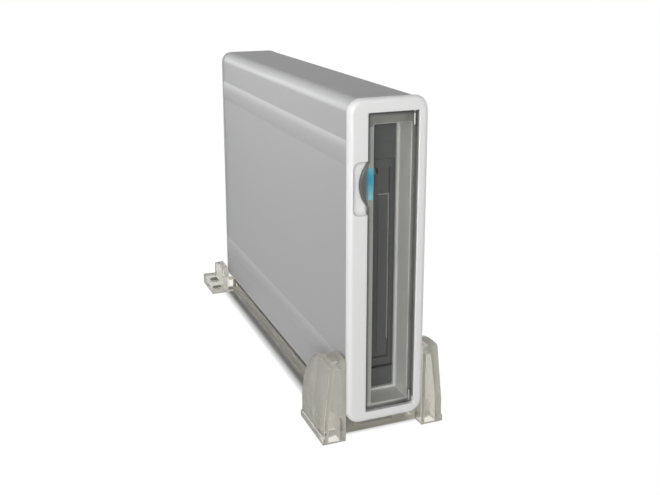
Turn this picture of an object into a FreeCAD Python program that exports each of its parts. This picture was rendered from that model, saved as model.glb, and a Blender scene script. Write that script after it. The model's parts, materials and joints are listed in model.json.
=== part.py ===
"""External magneto-optical drive: an upright slim case in a clear stand.

X runs across the case, Y from the front door to the back, Z up.
The origin lies on the floor under the middle of the whole object.
"""
import FreeCAD, Part
import math
import os

import Sketcher

# Driving sizes in millimetres, grouped by the piece that they shape.
SIZES = {
    # Case as a whole
    "case_width": 38.0,
    "case_height": 150.0,
    "case_depth": 207.0,
    "case_corner": 6.5,
    "case_lift": 8.8,
    "seat_gap": 0.3,
    # Extruded sleeve
    "sleeve_inset": 0.4,
    "sleeve_wall": 1.5,
    "bead_width": 12.0,
    "bead_rise": 0.6,
    "bead_level": 24.0,
    # Front bezel
    "bezel_depth": 9.0,
    "bezel_plate": 5.2,
    "bezel_wall": 2.0,
    "bezel_edge": 2.4,
    "opening_left": 10.0,
    "opening_right": 14.2,
    "opening_bottom": 5.0,
    "opening_top": 6.4,
    "rebate_depth": 3.4,
    "tunnel_left": 5.8,
    "tunnel_right": 12.0,
    "tunnel_bottom": 7.0,
    "tunnel_top": 12.0,
    "tunnel_wall": 1.5,
    "tunnel_end": 16.4,
    "tunnel_lip": 1.2,
    "tunnel_lip_depth": 1.4,
    "scoop_left": 17.0,
    "scoop_level": 111.8,
    "scoop_height": 22.0,
    "scoop_depth": 4.2,
    "scoop_corner": 3.0,
    "tongue_depth": 4.0,
    "tongue_wall": 1.6,
    "tongue_margin": 12.0,
    "tongue_gap": 0.2,
    # Front door and its hinge
    "door_gap": 0.5,
    "door_set_back": 1.0,
    "door_thick": 2.0,
    "tab_reach": 3.8,
    "tab_height": 20.0,
    "hinge_pin_radius": 0.5,
    "hinge_pin_hold": 3.5,
    "hinge_pin_reach": 6.0,
    "running_gap": 0.05,
    # Status light
    "guide_left": 9.4,
    "guide_width": 3.2,
    "guide_height": 14.2,
    "guide_stem_width": 1.7,
    "guide_end": 9.6,
    "guide_lip": 1.0,
    "guide_gap": 0.1,
    "lamp_radius": 1.5,
    "lamp_length": 4.2,
    "lamp_board_thick": 1.2,
    "lamp_board_width": 5.4,
    "lamp_board_height": 18.0,
    # Inner fascia
    "fascia_thick": 1.8,
    "fascia_left": 13.2,
    "fascia_right": 15.8,
    "fascia_margin": 5.0,
    # Drive mechanism envelope
    "drive_centre": 2.1,
    "drive_thick": 25.4,
    "drive_width": 101.6,
    "drive_length": 150.0,
    "drive_face": 17.6,
    "drive_bottom": 17.6,
    # Drive bezel, slot and flap
    "face_thick": 6.0,
    "face_edge": 0.8,
    "slot_left": 11.0,
    "slot_width": 8.6,
    "slot_length": 93.0,
    "flap_gap": 0.25,
    "flap_thick": 1.4,
    "flap_set_back": 1.1,
    "flap_pivot_in": 1.2,
    "flap_barrel": 1.0,
    "flap_pin_radius": 0.5,
    "flap_pin_hold": 2.5,
    "flap_panel_length": 79.0,
    "flap_panel_width": 5.4,
    "flap_panel_rise": 0.5,
    "flap_panel_margin": 1.4,
    "spring_wire": 0.18,
    "spring_turns": 3.0,
    "spring_pitch": 0.6,
    # Eject button, activity light and front board
    "button_place": 7.6,
    "button_level": 40.0,
    "button_width": 4.0,
    "button_length": 9.0,
    "button_proud": 0.7,
    "button_travel": 0.8,
    "button_gap": 0.15,
    "button_flange": 1.0,
    "button_stem": 1.2,
    "light_level": 28.0,
    "light_radius": 1.0,
    "pinhole_level": 20.0,
    "pinhole_radius": 0.6,
    "front_board_place": 8.4,
    "front_board_thick": 1.2,
    "front_board_low": 1.2,
    "front_board_width": 8.6,
    "front_board_length": 32.0,
    "front_board_level": 46.0,
    "switch_side": 5.0,
    "switch_height": 1.6,
    # Drive base casting
    "deck_low": 3.6,
    "deck_thick": 1.6,
    "deck_gap": 1.5,
    "wall_thick": 2.0,
    "wall_end": 147.4,
    "cover_thick": 0.8,
    "skirt_thick": 0.5,
    "skirt_reach": 13.0,
    "cover_lip": 4.0,
    "emboss_front": 18.0,
    "emboss_end": 66.0,
    "emboss_half": 36.0,
    "emboss_rise": 0.5,
    "boss_radius": 3.0,
    "boss_bore": 1.25,
    "boss_inset": 4.5,
    "boss_front": 24.0,
    "boss_rear": 124.0,
    "rod_post_width": 4.0,
    "rod_post_thick": 2.0,
    "rod_post_height": 3.8,
    "rib_place": 40.0,
    "rib_thick": 1.6,
    "rib_rise": 1.8,
    "rib_front": 31.0,
    "rib_end": 104.0,
    "locator_place": 34.0,
    "locator_front": 34.0,
    "locator_radius": 1.5,
    "locator_top": 12.0,
    # Drive circuit board
    "board_thick": 1.6,
    "drive_board_low": 0.2,
    "drive_board_front": 12.0,
    "drive_board_end": 148.0,
    "drive_board_half": 41.0,
    "board_post_radius": 2.0,
    "board_post_inset": 6.0,
    "chip_side": 20.0,
    "chip_thick": 1.4,
    "chip_pitch": 34.0,
    # Spindle
    "spindle_place": 57.4,
    "stator_radius": 13.0,
    "stator_height": 2.2,
    "rotor_radius": 11.5,
    "rotor_low": 7.7,
    "rotor_height": 1.5,
    "nose_radius": 1.9,
    "nose_height": 1.2,
    "shaft_radius": 1.0,
    "shaft_foot": 5.6,
    # Head carriage and its linear motor
    "seek_travel": 18.0,
    "lens_place": 23.0,
    "lens_radius": 2.2,
    "lens_height": 1.0,
    "carriage_low": 5.7,
    "carriage_height": 3.1,
    "carriage_front": 73.4,
    "carriage_length": 16.0,
    "carriage_half": 9.5,
    "rod_radius": 1.0,
    "rod_spacing": 7.0,
    "rod_level": 7.2,
    "rod_end_gap": 0.6,
    "coil_width": 6.0,
    "coil_height": 3.2,
    "coil_low": 5.6,
    "coil_length": 14.0,
    "coil_side": 1.2,
    "coil_face": 0.7,
    "pole_width": 2.8,
    "pole_height": 1.0,
    "yoke_front": 70.0,
    "yoke_plate": 2.0,
    "yoke_bar": 1.6,
    "yoke_height": 3.7,
    "coil_air": 0.5,
    "magnet_thick": 0.9,
    # Fixed optics
    "optics_front": 114.5,
    "optics_length": 21.0,
    "optics_half": 14.0,
    "optics_height": 8.8,
    "beam_radius": 1.6,
    "beam_length": 1.6,
    "laser_radius": 2.8,
    "laser_length": 6.0,
    "laser_level": 9.6,
    # Cartridge holder and loading slider
    "holder_front": 10.4,
    "holder_length": 90.0,
    "holder_sheet": 0.8,
    "holder_inside": 92.0,
    "holder_low": 12.4,
    "cartridge_room": 6.6,
    "holder_lip": 6.0,
    "holder_window": 14.0,
    "holder_window_front": 70.0,
    "pin_radius": 1.0,
    "pin_level": 16.4,
    "pin_front": 25.0,
    "pin_rear": 80.0,
    "pin_length": 2.8,
    "load_drop": 4.0,
    "load_travel": 12.0,
    "slider_gap": 0.4,
    "slider_sheet": 0.8,
    "slider_level": 21.0,
    "slider_front": 10.0,
    "slider_bridge": 24.0,
    "slider_bar": 8.75,
    "slider_end": 119.0,
    "slider_skirt_end": 84.0,
    "slider_skirt_low": 10.0,
    # Eject motor, pinion and rack
    "motor_radius": 7.0,
    "motor_height": 11.8,
    "motor_place": 112.0,
    "motor_shaft": 0.8,
    "motor_floor": 2.0,
    "pinion_teeth": 12.0,
    "tooth_module": 1.0,
    "tooth_rise": 0.8,
    "tooth_depth": 1.25,
    "tooth_tip": 0.22,
    "tooth_root": 0.85,
    "pinion_low": 20.7,
    "pinion_thick": 1.4,
    "rack_front": 97.0,
    "rack_teeth": 7.0,
    # Bias coil
    "bias_front": 72.0,
    "bias_length": 32.0,
    "bias_half": 5.0,
    "bias_height": 2.4,
    # Drive connector and ribbon
    "plug_front": 138.0,
    "plug_length": 11.0,
    "plug_half": 34.0,
    "plug_height": 8.0,
    "ribbon_thick": 0.9,
    "ribbon_half": 31.0,
    "ribbon_level": 4.0,
    # Chassis tray
    "tray_thick": 1.2,
    "tray_gap": 1.2,
    "tray_margin": 8.5,
    "tray_flange": 9.0,
    "tray_hole": 1.8,
    "tray_vent_width": 9.0,
    "tray_vent_height": 40.0,
    "tray_vent_pitch": 27.0,
    "ear_thick": 1.5,
    "ear_width": 16.0,
    "ear_height": 10.0,
    "grommet_radius": 3.6,
    "screw_radius": 1.15,
    "screw_head_radius": 2.6,
    "screw_head_height": 1.5,
    "drive_screw_reach": 5.0,
    # Bridge board
    "spacer_length": 3.8,
    "spacer_radius": 2.4,
    "bridge_rear_gap": 3.0,
    "bridge_depth": 30.0,
    "bridge_bottom": 28.0,
    "bridge_top_gap": 20.0,
    "bridge_inset": 4.0,
    "bridge_screw_reach": 4.4,
    "header_depth": 6.0,
    "header_height": 7.2,
    "bridge_chip_side": 9.0,
    # Sockets and switch at the back
    "port_gap": 0.25,
    "usb_drop": 88.0,
    "usb_width": 12.0,
    "usb_height": 11.0,
    "usb_depth": 16.0,
    "usb_shell": 0.6,
    "usb_slant": 2.0,
    "usb_well": 9.0,
    "usb_tongue": 5.6,
    "usb_tongue_thick": 3.2,
    "jack_drop": 68.0,
    "jack_width": 9.0,
    "jack_height": 11.0,
    "jack_depth": 14.0,
    "jack_bore": 3.1,
    "jack_pin": 1.0,
    "jack_well": 9.0,
    "port_recess": 1.0,
    "toggle_drop": 46.0,
    "toggle_width": 14.0,
    "toggle_height": 11.0,
    "toggle_depth": 15.0,
    "toggle_wall": 1.4,
    "toggle_well": 8.0,
    "rocker_gap": 0.35,
    "rocker_pivot": 3.2,
    "rocker_proud": 1.6,
    "rocker_dip": 0.9,
    "rocker_back": 2.6,
    "rocker_tilt": 8.0,
    "rocker_axle": 0.8,
    "axle_hold": 0.9,
    # Rear panel
    "panel_thick": 2.5,
    "panel_edge": 0.8,
    "vent_width": 2.0,
    "vent_length": 22.0,
    "vent_gap": 7.2,
    "vent_count": 7.0,
    "vent_bottom": 24.0,
    "rear_screw_level": 14.0,
    "rear_screw_reach": 4.0,
    # Clear stand
    "stand_tail": 18.0,
    "foot_clear": 0.8,
    "stand_half": 30.6,
    "stand_side_gap": 0.3,
    "leg_set_back": 1.2,
    "leg_depth": 29.8,
    "leg_rise": 32.0,
    "leg_top": 7.5,
    "leg_knee": 12.0,
    "leg_knee_half": 29.8,
    "leg_front_round": 1.0,
    "leg_round": 24.0,
    "leg_flange": 3.0,
    "leg_wall": 2.5,
    "leg_hollow_depth": 14.5,
    "rear_foot_overlap": 6.0,
    "rear_foot_height": 6.0,
    "rear_post_width": 4.7,
    "rear_post_depth": 18.0,
    "rear_post_rise": 8.7,
    "rear_post_round": 4.0,
    "cross_bar_place": 9.6,
    "cross_bar_depth": 6.0,
    "cross_lip_place": 7.6,
    "cross_lip_gap": 0.4,
    "rail_inner": 9.5,
    "rail_width": 7.0,
    "stop_half": 8.0,
    "stop_thick": 3.0,
    "stop_rise": 5.0,
    "pad_radius": 3.2,
    "pad_thick": 1.6,
    "pad_across": 24.8,
    "pad_front_place": 11.2,
    "pad_rear_place": 8.0,
}

document = FreeCAD.newDocument("magneto_optical_drive")
sheet = document.addObject("Spreadsheet::Sheet", "dims")
for row, (alias, millimetres) in enumerate(SIZES.items(), start=1):
    sheet.set(f"A{row}", str(millimetres))
    sheet.setAlias(f"A{row}", alias)
document.recompute()


class Size:
    """A length that carries its value and the expression that gives it."""

    def __init__(self, value, text):
        self.value = value
        self.text = text

    @staticmethod
    def of(thing):
        if isinstance(thing, Size):
            return thing
        return Size(float(thing), repr(float(thing)))

    def __add__(self, other):
        other = Size.of(other)
        return Size(self.value + other.value, f"({self.text} + {other.text})")

    def __sub__(self, other):
        other = Size.of(other)
        return Size(self.value - other.value, f"({self.text} - {other.text})")

    def __mul__(self, other):
        other = Size.of(other)
        return Size(self.value * other.value, f"({self.text} * {other.text})")

    def __truediv__(self, other):
        other = Size.of(other)
        return Size(self.value / other.value, f"({self.text} / {other.text})")

    def __radd__(self, other):
        return Size.of(other) + self

    def __rsub__(self, other):
        return Size.of(other) - self

    def __rmul__(self, other):
        return Size.of(other) * self

    def __neg__(self):
        return Size(-self.value, f"(-{self.text})")


class Dims:
    """Gives each cell of the sheet as a Size, by its alias."""

    def __getattr__(self, alias):
        return Size(float(sheet.get(alias)), f"dims.{alias}")


size = Dims()
ZERO = Size.of(0)


def diagonal(first, second):
    """Length of the slanted line with the two given legs."""
    text = f"sqrt({first.text}^2 + {second.text}^2)"
    return Size(math.hypot(first.value, second.value), text)


# Shared places
FACE = -(size.case_depth + size.stand_tail) / 2
DRIVE_LEFT = size.drive_centre - size.drive_thick / 2
DRIVE_MIDDLE = size.case_lift + size.drive_bottom + size.drive_width / 2
SLEEVE_HALF = size.case_width / 2 - size.sleeve_inset - size.bead_rise
SLEEVE_INNER = SLEEVE_HALF - size.sleeve_wall
SLEEVE_LOW = size.case_lift + size.sleeve_inset
SLEEVE_HIGH = size.case_lift + size.case_height - size.sleeve_inset
INNER_LOW = SLEEVE_LOW + size.sleeve_wall
INNER_HIGH = SLEEVE_HIGH - size.sleeve_wall


def behind(distance):
    """Y of a place at a distance behind the front face of the case."""
    return FACE + distance


def above(height):
    """Z of a place at a height above the underside of the case."""
    return size.case_lift + height


def inside(distance):
    """Y of a place at a distance behind the face of the drive mechanism."""
    return FACE + size.drive_face + distance


def across(height):
    """X of a place at a height above the underside of the drive mechanism."""
    return DRIVE_LEFT + height


def bind(item, values):
    """Tie properties of a document object to their sizes."""
    for name, value in values.items():
        item.setExpression(name, Size.of(value).text)


def put(item, corner):
    """Tie the place of a document object to three sizes."""
    for axis, value in zip("xyz", corner):
        bind(item, {f"Placement.Base.{axis}": value})


SUBPARTS = []


def subpart(item, label):
    """Name a finished piece and keep it for the parts list."""
    item.Label = label
    SUBPARTS.append(item)
    return item


# Part primitives
def box(low, extent):
    """A block with its lowest corner and its three extents."""
    item = document.addObject("Part::Box", "block")
    bind(item, dict(zip(("Length", "Width", "Height"), extent)))
    put(item, low)
    return item


def span(low, high):
    """A block between two opposite corners."""
    return box(low, [top - bottom for bottom, top in zip(low, high)])


AXIS_TURN = {
    "x": FreeCAD.Rotation(FreeCAD.Vector(0, 1, 0), 90),
    "y": FreeCAD.Rotation(FreeCAD.Vector(1, 0, 0), -90),
    "z": FreeCAD.Rotation(),
}


def rod(axis, start, radius, length):
    """A round bar from a start point along the positive direction of an axis."""
    item = document.addObject("Part::Cylinder", "bar")
    bind(item, {"Radius": radius, "Height": length})
    item.Placement = FreeCAD.Placement(FreeCAD.Vector(), AXIS_TURN[axis])
    put(item, start)
    return item


def prism(start, radius, length, sides=6):
    """A bar with flat sides from a start point along the positive X axis."""
    item = document.addObject("Part::Prism", "flat_sided_bar")
    item.Polygon = sides
    bind(item, {"Circumradius": radius, "Height": length})
    item.Placement = FreeCAD.Placement(FreeCAD.Vector(), AXIS_TURN["x"])
    put(item, start)
    return item


def fuse(*items):
    """One solid from several that touch or overlap."""
    item = document.addObject("Part::MultiFuse", "joined")
    item.Shapes = list(items)
    item.Refine = True
    return item


def cut(base, *tools):
    """A solid with the tools taken away."""
    item = document.addObject("Part::Cut", "trimmed")
    item.Base = base
    item.Tool = tools[0] if len(tools) == 1 else fuse(*tools)
    item.Refine = True
    return item


def group(*items):
    """Several separate solids in one piece."""
    item = document.addObject("Part::Compound", "set")
    item.Links = list(items)
    return item


# Sketched bodies
class Outline:
    """A closed loop of straight lines, with arcs where a centre is given."""

    def __init__(self, points, arcs=None):
        self.points = [tuple(Size.of(value) for value in point) for point in points]
        self.arcs = arcs or {}

    def arc(self, index):
        """The arc after a corner, with which of its ends comes first."""
        first = self.points[index]
        last = self.points[(index + 1) % len(self.points)]
        centre = [Size.of(value) for value in self.arcs[index]]
        start = math.atan2(first[1].value - centre[1].value, first[0].value - centre[0].value)
        stop = math.atan2(last[1].value - centre[1].value, last[0].value - centre[0].value)
        turned = (stop - start) % (2 * math.pi) > math.pi + 1e-6
        if turned:
            start, stop = stop, start
        radius = math.hypot(first[0].value - centre[0].value, first[1].value - centre[1].value)
        middle = FreeCAD.Vector(centre[0].value, centre[1].value, 0)
        circle = Part.Circle(middle, FreeCAD.Vector(0, 0, 1), radius)
        return Part.ArcOfCircle(circle, start, stop), turned

    def draw(self, sketch):
        count = len(self.points)
        base = sketch.GeometryCount
        shapes = []
        turned = []
        for index in range(count):
            first, last = self.points[index], self.points[(index + 1) % count]
            if index in self.arcs:
                shape, swapped = self.arc(index)
            else:
                shape = Part.LineSegment(
                    FreeCAD.Vector(first[0].value, first[1].value, 0),
                    FreeCAD.Vector(last[0].value, last[1].value, 0),
                )
                swapped = False
            shapes.append(shape)
            turned.append(swapped)
        sketch.addGeometry(shapes)
        for index in range(count):
            following = (index + 1) % count
            end = 1 if turned[index] else 2
            start = 2 if turned[following] else 1
            sketch.addConstraint(
                Sketcher.Constraint("Coincident", base + index, end, base + following, start))
        for index, point in enumerate(self.points):
            start = 2 if turned[index] else 1
            for kind, value in zip(("DistanceX", "DistanceY"), point):
                place(sketch, kind, base + index, start, value)
        for index, centre in self.arcs.items():
            first, last = self.points[index], self.points[(index + 1) % count]
            upright = abs(last[1].value - first[1].value) > abs(last[0].value - first[0].value)
            kind, value = ("DistanceX", centre[0]) if upright else ("DistanceY", centre[1])
            place(sketch, kind, base + index, 3, Size.of(value))


class Round:
    """A full circle with its centre and radius."""

    def __init__(self, centre, radius):
        self.centre = [Size.of(value) for value in centre]
        self.radius = Size.of(radius)

    def draw(self, sketch):
        base = sketch.GeometryCount
        middle = FreeCAD.Vector(self.centre[0].value, self.centre[1].value, 0)
        sketch.addGeometry(Part.Circle(middle, FreeCAD.Vector(0, 0, 1), self.radius.value))
        for kind, value in zip(("DistanceX", "DistanceY"), self.centre):
            place(sketch, kind, base, 3, value)
        number = sketch.addConstraint(Sketcher.Constraint("Radius", base, self.radius.value))
        sketch.setExpression(f"Constraints[{number}]", self.radius.text)


def place(sketch, kind, shape, point, value):
    """Hold one coordinate of a sketch point at a size from the sketch origin."""
    number = sketch.addConstraint(Sketcher.Constraint(kind, -1, 1, shape, point, value.value))
    sketch.setExpression(f"Constraints[{number}]", value.text)


def frame(left, bottom, right, top):
    """A rectangular loop between two opposite corners."""
    return Outline([(left, bottom), (right, bottom), (right, top), (left, top)])


def rounded(left, bottom, right, top, radius):
    """A rectangular loop with rounded corners."""
    corners = [(right, bottom, -1, 1), (right, top, -1, -1), (left, top, 1, -1), (left, bottom, 1, 1)]
    points, arcs = [], {}
    for number, (place, level, inward, upward) in enumerate(corners):
        beside = (place + inward * radius, level)
        over = (place, level + upward * radius)
        points += [beside, over] if number % 2 == 0 else [over, beside]
        arcs[2 * number] = (place + inward * radius, level + upward * radius)
    return Outline(points, arcs)


class Body:
    """A body of pads and pockets, each from a level towards the positive axis."""

    PLANES = {"x": "YZ_Plane", "y": "XZ_Plane", "z": "XY_Plane"}

    def __init__(self):
        self.body = document.addObject("PartDesign::Body", "body")

    def sketch(self, axis, level, loops):
        flat = self.body.newObject("Sketcher::SketchObject", "outline")
        roles = {feature.Role: feature for feature in self.body.Origin.OriginFeatures}
        flat.AttachmentSupport = (roles[self.PLANES[axis]], "")
        flat.MapMode = "FlatFace"
        level = Size.of(level)
        bind(flat, {"AttachmentOffset.Base.z": -level if axis == "y" else level})
        for loop in loops:
            loop.draw(flat)
        return flat

    def pad(self, axis, level, length, *loops):
        feature = self.body.newObject("PartDesign::Pad", "pad")
        feature.Profile = self.sketch(axis, level, loops)
        feature.Reversed = axis == "y"
        bind(feature, {"Length": length})
        document.recompute()
        if "Invalid" in feature.State:
            raise RuntimeError(f"a pad of {self.body.Label} fails")
        return feature

    def pocket(self, axis, level, length, *loops):
        before = self.body.Shape.Volume
        feature = self.body.newObject("PartDesign::Pocket", "pocket")
        feature.Profile = self.sketch(axis, level, loops)
        feature.Reversed = axis != "y"
        bind(feature, {"Length": length})
        document.recompute()
        if self.body.Shape.Volume >= before:
            raise RuntimeError(f"a pocket of {self.body.Label} cuts nothing")
        return feature

    def round(self, radius, chosen):
        """Fillet the edges for which the test is true."""
        tip = self.body.Tip
        names = [f"Edge{n}" for n, edge in enumerate(tip.Shape.Edges, start=1) if chosen(edge)]
        if not names:
            raise RuntimeError(f"no edge to round on {self.body.Label}")
        feature = self.body.newObject("PartDesign::Fillet", "fillet")
        feature.Base = (tip, names)
        bind(feature, {"Radius": radius})
        document.recompute()
        if "Invalid" in feature.State:
            raise RuntimeError(f"a fillet of {self.body.Label} fails")
        return feature

    def pattern(self, original, axis, spacing, count):
        """Repeat a feature along one of the body's axes."""
        feature = self.body.newObject("PartDesign::LinearPattern", "row")
        feature.Originals = [original]
        roles = {item.Role: item for item in self.body.Origin.OriginFeatures}
        feature.Direction = (roles[f"{axis.upper()}_Axis"], [""])
        feature.Occurrences = int(round(count.value))
        bind(feature, {"Length": spacing * (count - 1)})
        self.body.Tip = feature
        document.recompute()
        return feature


def near(value, wanted):
    """True where a coordinate lies on a size."""
    return abs(value - Size.of(wanted).value) < 1e-4


def along(edge, axis):
    """True for a straight edge that runs along an axis."""
    start, end = edge.Vertexes[0].Point, edge.Vertexes[-1].Point
    others = [name for name in "xyz" if name != axis]
    straight = edge.Curve.TypeId == "Part::GeomLine"
    return straight and all(abs(getattr(start, name) - getattr(end, name)) < 1e-6 for name in others)


def lies(edge, axis, wanted):
    """True where both ends of an edge lie on a plane across an axis."""
    return all(near(getattr(vertex.Point, axis), wanted) for vertex in edge.Vertexes)


# Case: sleeve, bezel, door, rear panel
def bead_arc(side, low, high):
    """Centre of the shallow arc that swells a flat side of the sleeve."""
    half = size.bead_width / 2
    radius = (half * half + size.bead_rise * size.bead_rise) / (2 * size.bead_rise)
    return (side * (SLEEVE_HALF + size.bead_rise - radius), (low + high) / 2)


def outer_sleeve():
    """Extruded tube with two swelled beads on each side."""
    low = above(size.bead_level) - size.bead_width / 2
    high = above(size.case_height - size.bead_level) - size.bead_width / 2
    rise = [SLEEVE_LOW, low, low + size.bead_width, high, high + size.bead_width, SLEEVE_HIGH]
    right = [(SLEEVE_HALF, level) for level in rise]
    left = [(-SLEEVE_HALF, level) for level in reversed(rise)]
    arcs = {
        1: bead_arc(1, rise[1], rise[2]),
        3: bead_arc(1, rise[3], rise[4]),
        7: bead_arc(-1, rise[3], rise[4]),
        9: bead_arc(-1, rise[1], rise[2]),
    }
    start = behind(size.bezel_depth)
    length = size.case_depth - size.bezel_depth - size.panel_thick
    sleeve = Body()
    sleeve.pad("y", start, length, Outline(right + left, arcs))
    corner = size.case_corner - size.sleeve_inset
    sleeve.round(corner, lambda edge: along(edge, "y") and (
        lies(edge, "z", SLEEVE_LOW) or lies(edge, "z", SLEEVE_HIGH)))
    sleeve.pocket("y", start, length, rounded(
        -SLEEVE_INNER, INNER_LOW, SLEEVE_INNER, INNER_HIGH, corner - size.sleeve_wall))
    return subpart(sleeve.body, "outer_sleeve")


def rear_screw_places():
    """X and Z of the screws that hold the rear panel to the tray."""
    low = size.rear_screw_level
    return [(ZERO, above(level)) for level in (low, size.case_height - low)]


def case_frame(inset):
    """Rectangular loop of the case set in by a distance."""
    half = size.case_width / 2 - inset
    return frame(-half, above(inset), half, above(size.case_height - inset))


OPENING_HIGH = above(size.case_height - size.opening_top)
TUNNEL_HIGH = above(size.case_height - size.tunnel_top)
GUIDE_LOW = above(size.scoop_level - size.guide_height / 2)
GUIDE_HIGH = above(size.scoop_level + size.guide_height / 2)
GUIDE_RIGHT = size.guide_width - size.guide_left
HINGE_X = size.opening_right - size.door_gap - size.door_thick / 2
HINGE_Y = behind(size.door_set_back + size.door_thick / 2)
DOOR_LOW = above(size.opening_bottom + size.door_gap)
DOOR_HIGH = OPENING_HIGH - size.door_gap


def front_bezel():
    """Rounded frame with a rebate for the door, a finger scoop and a tunnel to the drive."""
    bezel = Body()
    front = behind(ZERO)
    bezel.pad("y", front, size.bezel_depth, case_frame(ZERO))
    bezel.round(size.case_corner, lambda edge: along(edge, "y"))
    bezel.round(size.bezel_edge, lambda edge: lies(edge, "y", front))
    hollow = behind(size.bezel_plate)
    bezel.pocket("y", hollow, size.bezel_depth - size.bezel_plate, case_frame(size.bezel_wall))
    inner_ends = (above(size.bezel_wall), above(size.case_height - size.bezel_wall))
    bezel.round(size.case_corner - size.bezel_wall, lambda edge: along(edge, "y") and any(
        lies(edge, "z", level) for level in inner_ends))
    tunnel = [-size.tunnel_left, above(size.tunnel_bottom), size.tunnel_right, TUNNEL_HIGH]
    wall = [-size.tunnel_wall, -size.tunnel_wall, size.tunnel_wall, size.tunnel_wall]
    shell = [edge + thick for edge, thick in zip(tunnel, wall)]
    bezel.pad("y", hollow, size.tunnel_end - size.bezel_plate, frame(*shell))
    lip = size.tunnel_lip
    window = [edge + step for edge, step in zip(tunnel, (lip, lip, -lip, -lip))]
    bezel.pocket("y", front, size.tunnel_end - size.tunnel_lip_depth, frame(*tunnel))
    bezel.pocket("y", front, size.tunnel_end, frame(*window))
    bezel.pocket("y", front, size.rebate_depth, frame(
        -size.opening_left, above(size.opening_bottom), size.opening_right, OPENING_HIGH))
    scoop_low = above(size.scoop_level - size.scoop_height / 2)
    scoop_high = above(size.scoop_level + size.scoop_height / 2)
    bend = size.scoop_corner
    left, right = -size.scoop_left, -size.opening_left
    bezel.pocket("y", front, size.scoop_depth, Outline([
        (right, scoop_low), (right, scoop_high), (left + bend, scoop_high),
        (left, scoop_high - bend), (left, scoop_low + bend), (left + bend, scoop_low)],
        {2: (left + bend, scoop_high - bend), 4: (left + bend, scoop_low + bend)}))
    gap = size.guide_gap
    bezel.pocket("y", front, size.bezel_plate, frame(
        -size.guide_left - gap, GUIDE_LOW - gap, GUIDE_RIGHT + gap, GUIDE_HIGH + gap))
    hold = size.hinge_pin_hold + size.door_gap
    bore = Round((HINGE_X, HINGE_Y), size.hinge_pin_radius + size.running_gap)
    bezel.pocket("z", OPENING_HIGH, hold, bore)
    bezel.pocket("z", above(size.opening_bottom) - hold, hold, bore)
    outer = SLEEVE_INNER - size.tongue_gap
    rear = behind(size.bezel_depth - size.bezel_wall)
    bezel.pad("y", rear, size.tongue_depth + size.bezel_wall, *[
        frame(min_side, above(size.tongue_margin), max_side, above(size.case_height - size.tongue_margin))
        for min_side, max_side in ((-outer, size.tongue_wall - outer), (outer - size.tongue_wall, outer))])
    bezel.pad("y", rear, size.bezel_wall, *[
        frame(min_side, above(size.tongue_margin), max_side, above(size.case_height - size.tongue_margin))
        for min_side, max_side in (
            (size.bezel_wall / 2 - size.case_width / 2, size.tongue_wall - outer),
            (outer - size.tongue_wall, size.case_width / 2 - size.bezel_wall / 2))])
    return subpart(bezel.body, "front_bezel")


def front_door():
    """Clear plate with a rounded hinge edge and a thumb tab on its free edge."""
    left = size.door_gap - size.opening_left
    tab_low = above(size.scoop_level - size.tab_height / 2)
    tab_high = above(size.scoop_level + size.tab_height / 2)
    half = size.tab_height / 2
    radius = (half * half + size.tab_reach * size.tab_reach) / (2 * size.tab_reach)
    tab_centre = (left - size.tab_reach + radius, above(size.scoop_level))
    door = Body()
    door.pad("y", behind(size.door_set_back), size.door_thick, Outline([
        (left, DOOR_LOW), (HINGE_X, DOOR_LOW), (HINGE_X, DOOR_HIGH),
        (left, DOOR_HIGH), (left, tab_high), (left, tab_low)], {4: tab_centre}))
    door.pad("z", DOOR_LOW, DOOR_HIGH - DOOR_LOW, Round((HINGE_X, HINGE_Y), size.door_thick / 2))
    bore = Round((HINGE_X, HINGE_Y), size.hinge_pin_radius + size.running_gap)
    deep = size.hinge_pin_reach + size.door_gap
    door.pocket("z", DOOR_LOW, deep, bore)
    door.pocket("z", DOOR_HIGH - deep, deep, bore)
    return subpart(door.body, "front_door")


def door_hinge_pins():
    """Two steel pins, one at each end of the door's hinge edge."""
    length = size.hinge_pin_hold + size.door_gap + size.hinge_pin_reach
    low = above(size.opening_bottom) - size.hinge_pin_hold
    high = OPENING_HIGH + size.hinge_pin_hold - length
    pins = [rod("z", (HINGE_X, HINGE_Y, level), size.hinge_pin_radius, length) for level in (low, high)]
    return subpart(group(*pins), "door_hinge_pins")


def status_light():
    """Blue light guide in the rebate, the lamp behind it and the lamp's board."""
    guide = Body()
    plate = behind(size.bezel_plate)
    front = behind(size.rebate_depth)
    guide.pad("y", front, size.bezel_plate - size.rebate_depth, frame(
        -size.guide_left, GUIDE_LOW, GUIDE_RIGHT, GUIDE_HIGH))
    stem_right = size.guide_stem_width - size.guide_left
    lip = size.guide_lip
    guide.pad("y", plate, size.guide_end - size.bezel_plate, frame(
        -size.guide_left - lip, GUIDE_LOW - lip, stem_right, GUIDE_HIGH + lip))
    subpart(guide.body, "status_light_guide")
    wall = -size.tunnel_left - size.tunnel_wall
    middle = wall - size.seat_gap - size.lamp_radius
    start = behind(size.guide_end)
    lamp = rod("y", (middle, start, above(size.scoop_level)), size.lamp_radius, size.lamp_length)
    subpart(lamp, "status_lamp")
    board = box(
        (wall - size.lamp_board_width, start + size.lamp_length,
         above(size.scoop_level - size.lamp_board_height / 2)),
        (size.lamp_board_width, size.lamp_board_thick, size.lamp_board_height))
    subpart(board, "status_lamp_board")


def inner_fascia():
    """Dark plate behind the tunnel with a window for the face of the drive."""
    low, high = above(size.fascia_margin), above(size.case_height - size.fascia_margin)
    plate = Body()
    plate.pad("y", behind(size.tunnel_end), size.fascia_thick, frame(
        -size.fascia_left, low, size.fascia_right, high))
    gap = size.seat_gap
    bottom = above(size.drive_bottom)
    plate.pocket("y", behind(size.tunnel_end), size.fascia_thick, frame(
        DRIVE_LEFT - gap, bottom - gap, DRIVE_LEFT + size.drive_thick + gap, bottom + size.drive_width + gap))
    return subpart(plate.body, "inner_fascia")


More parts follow.
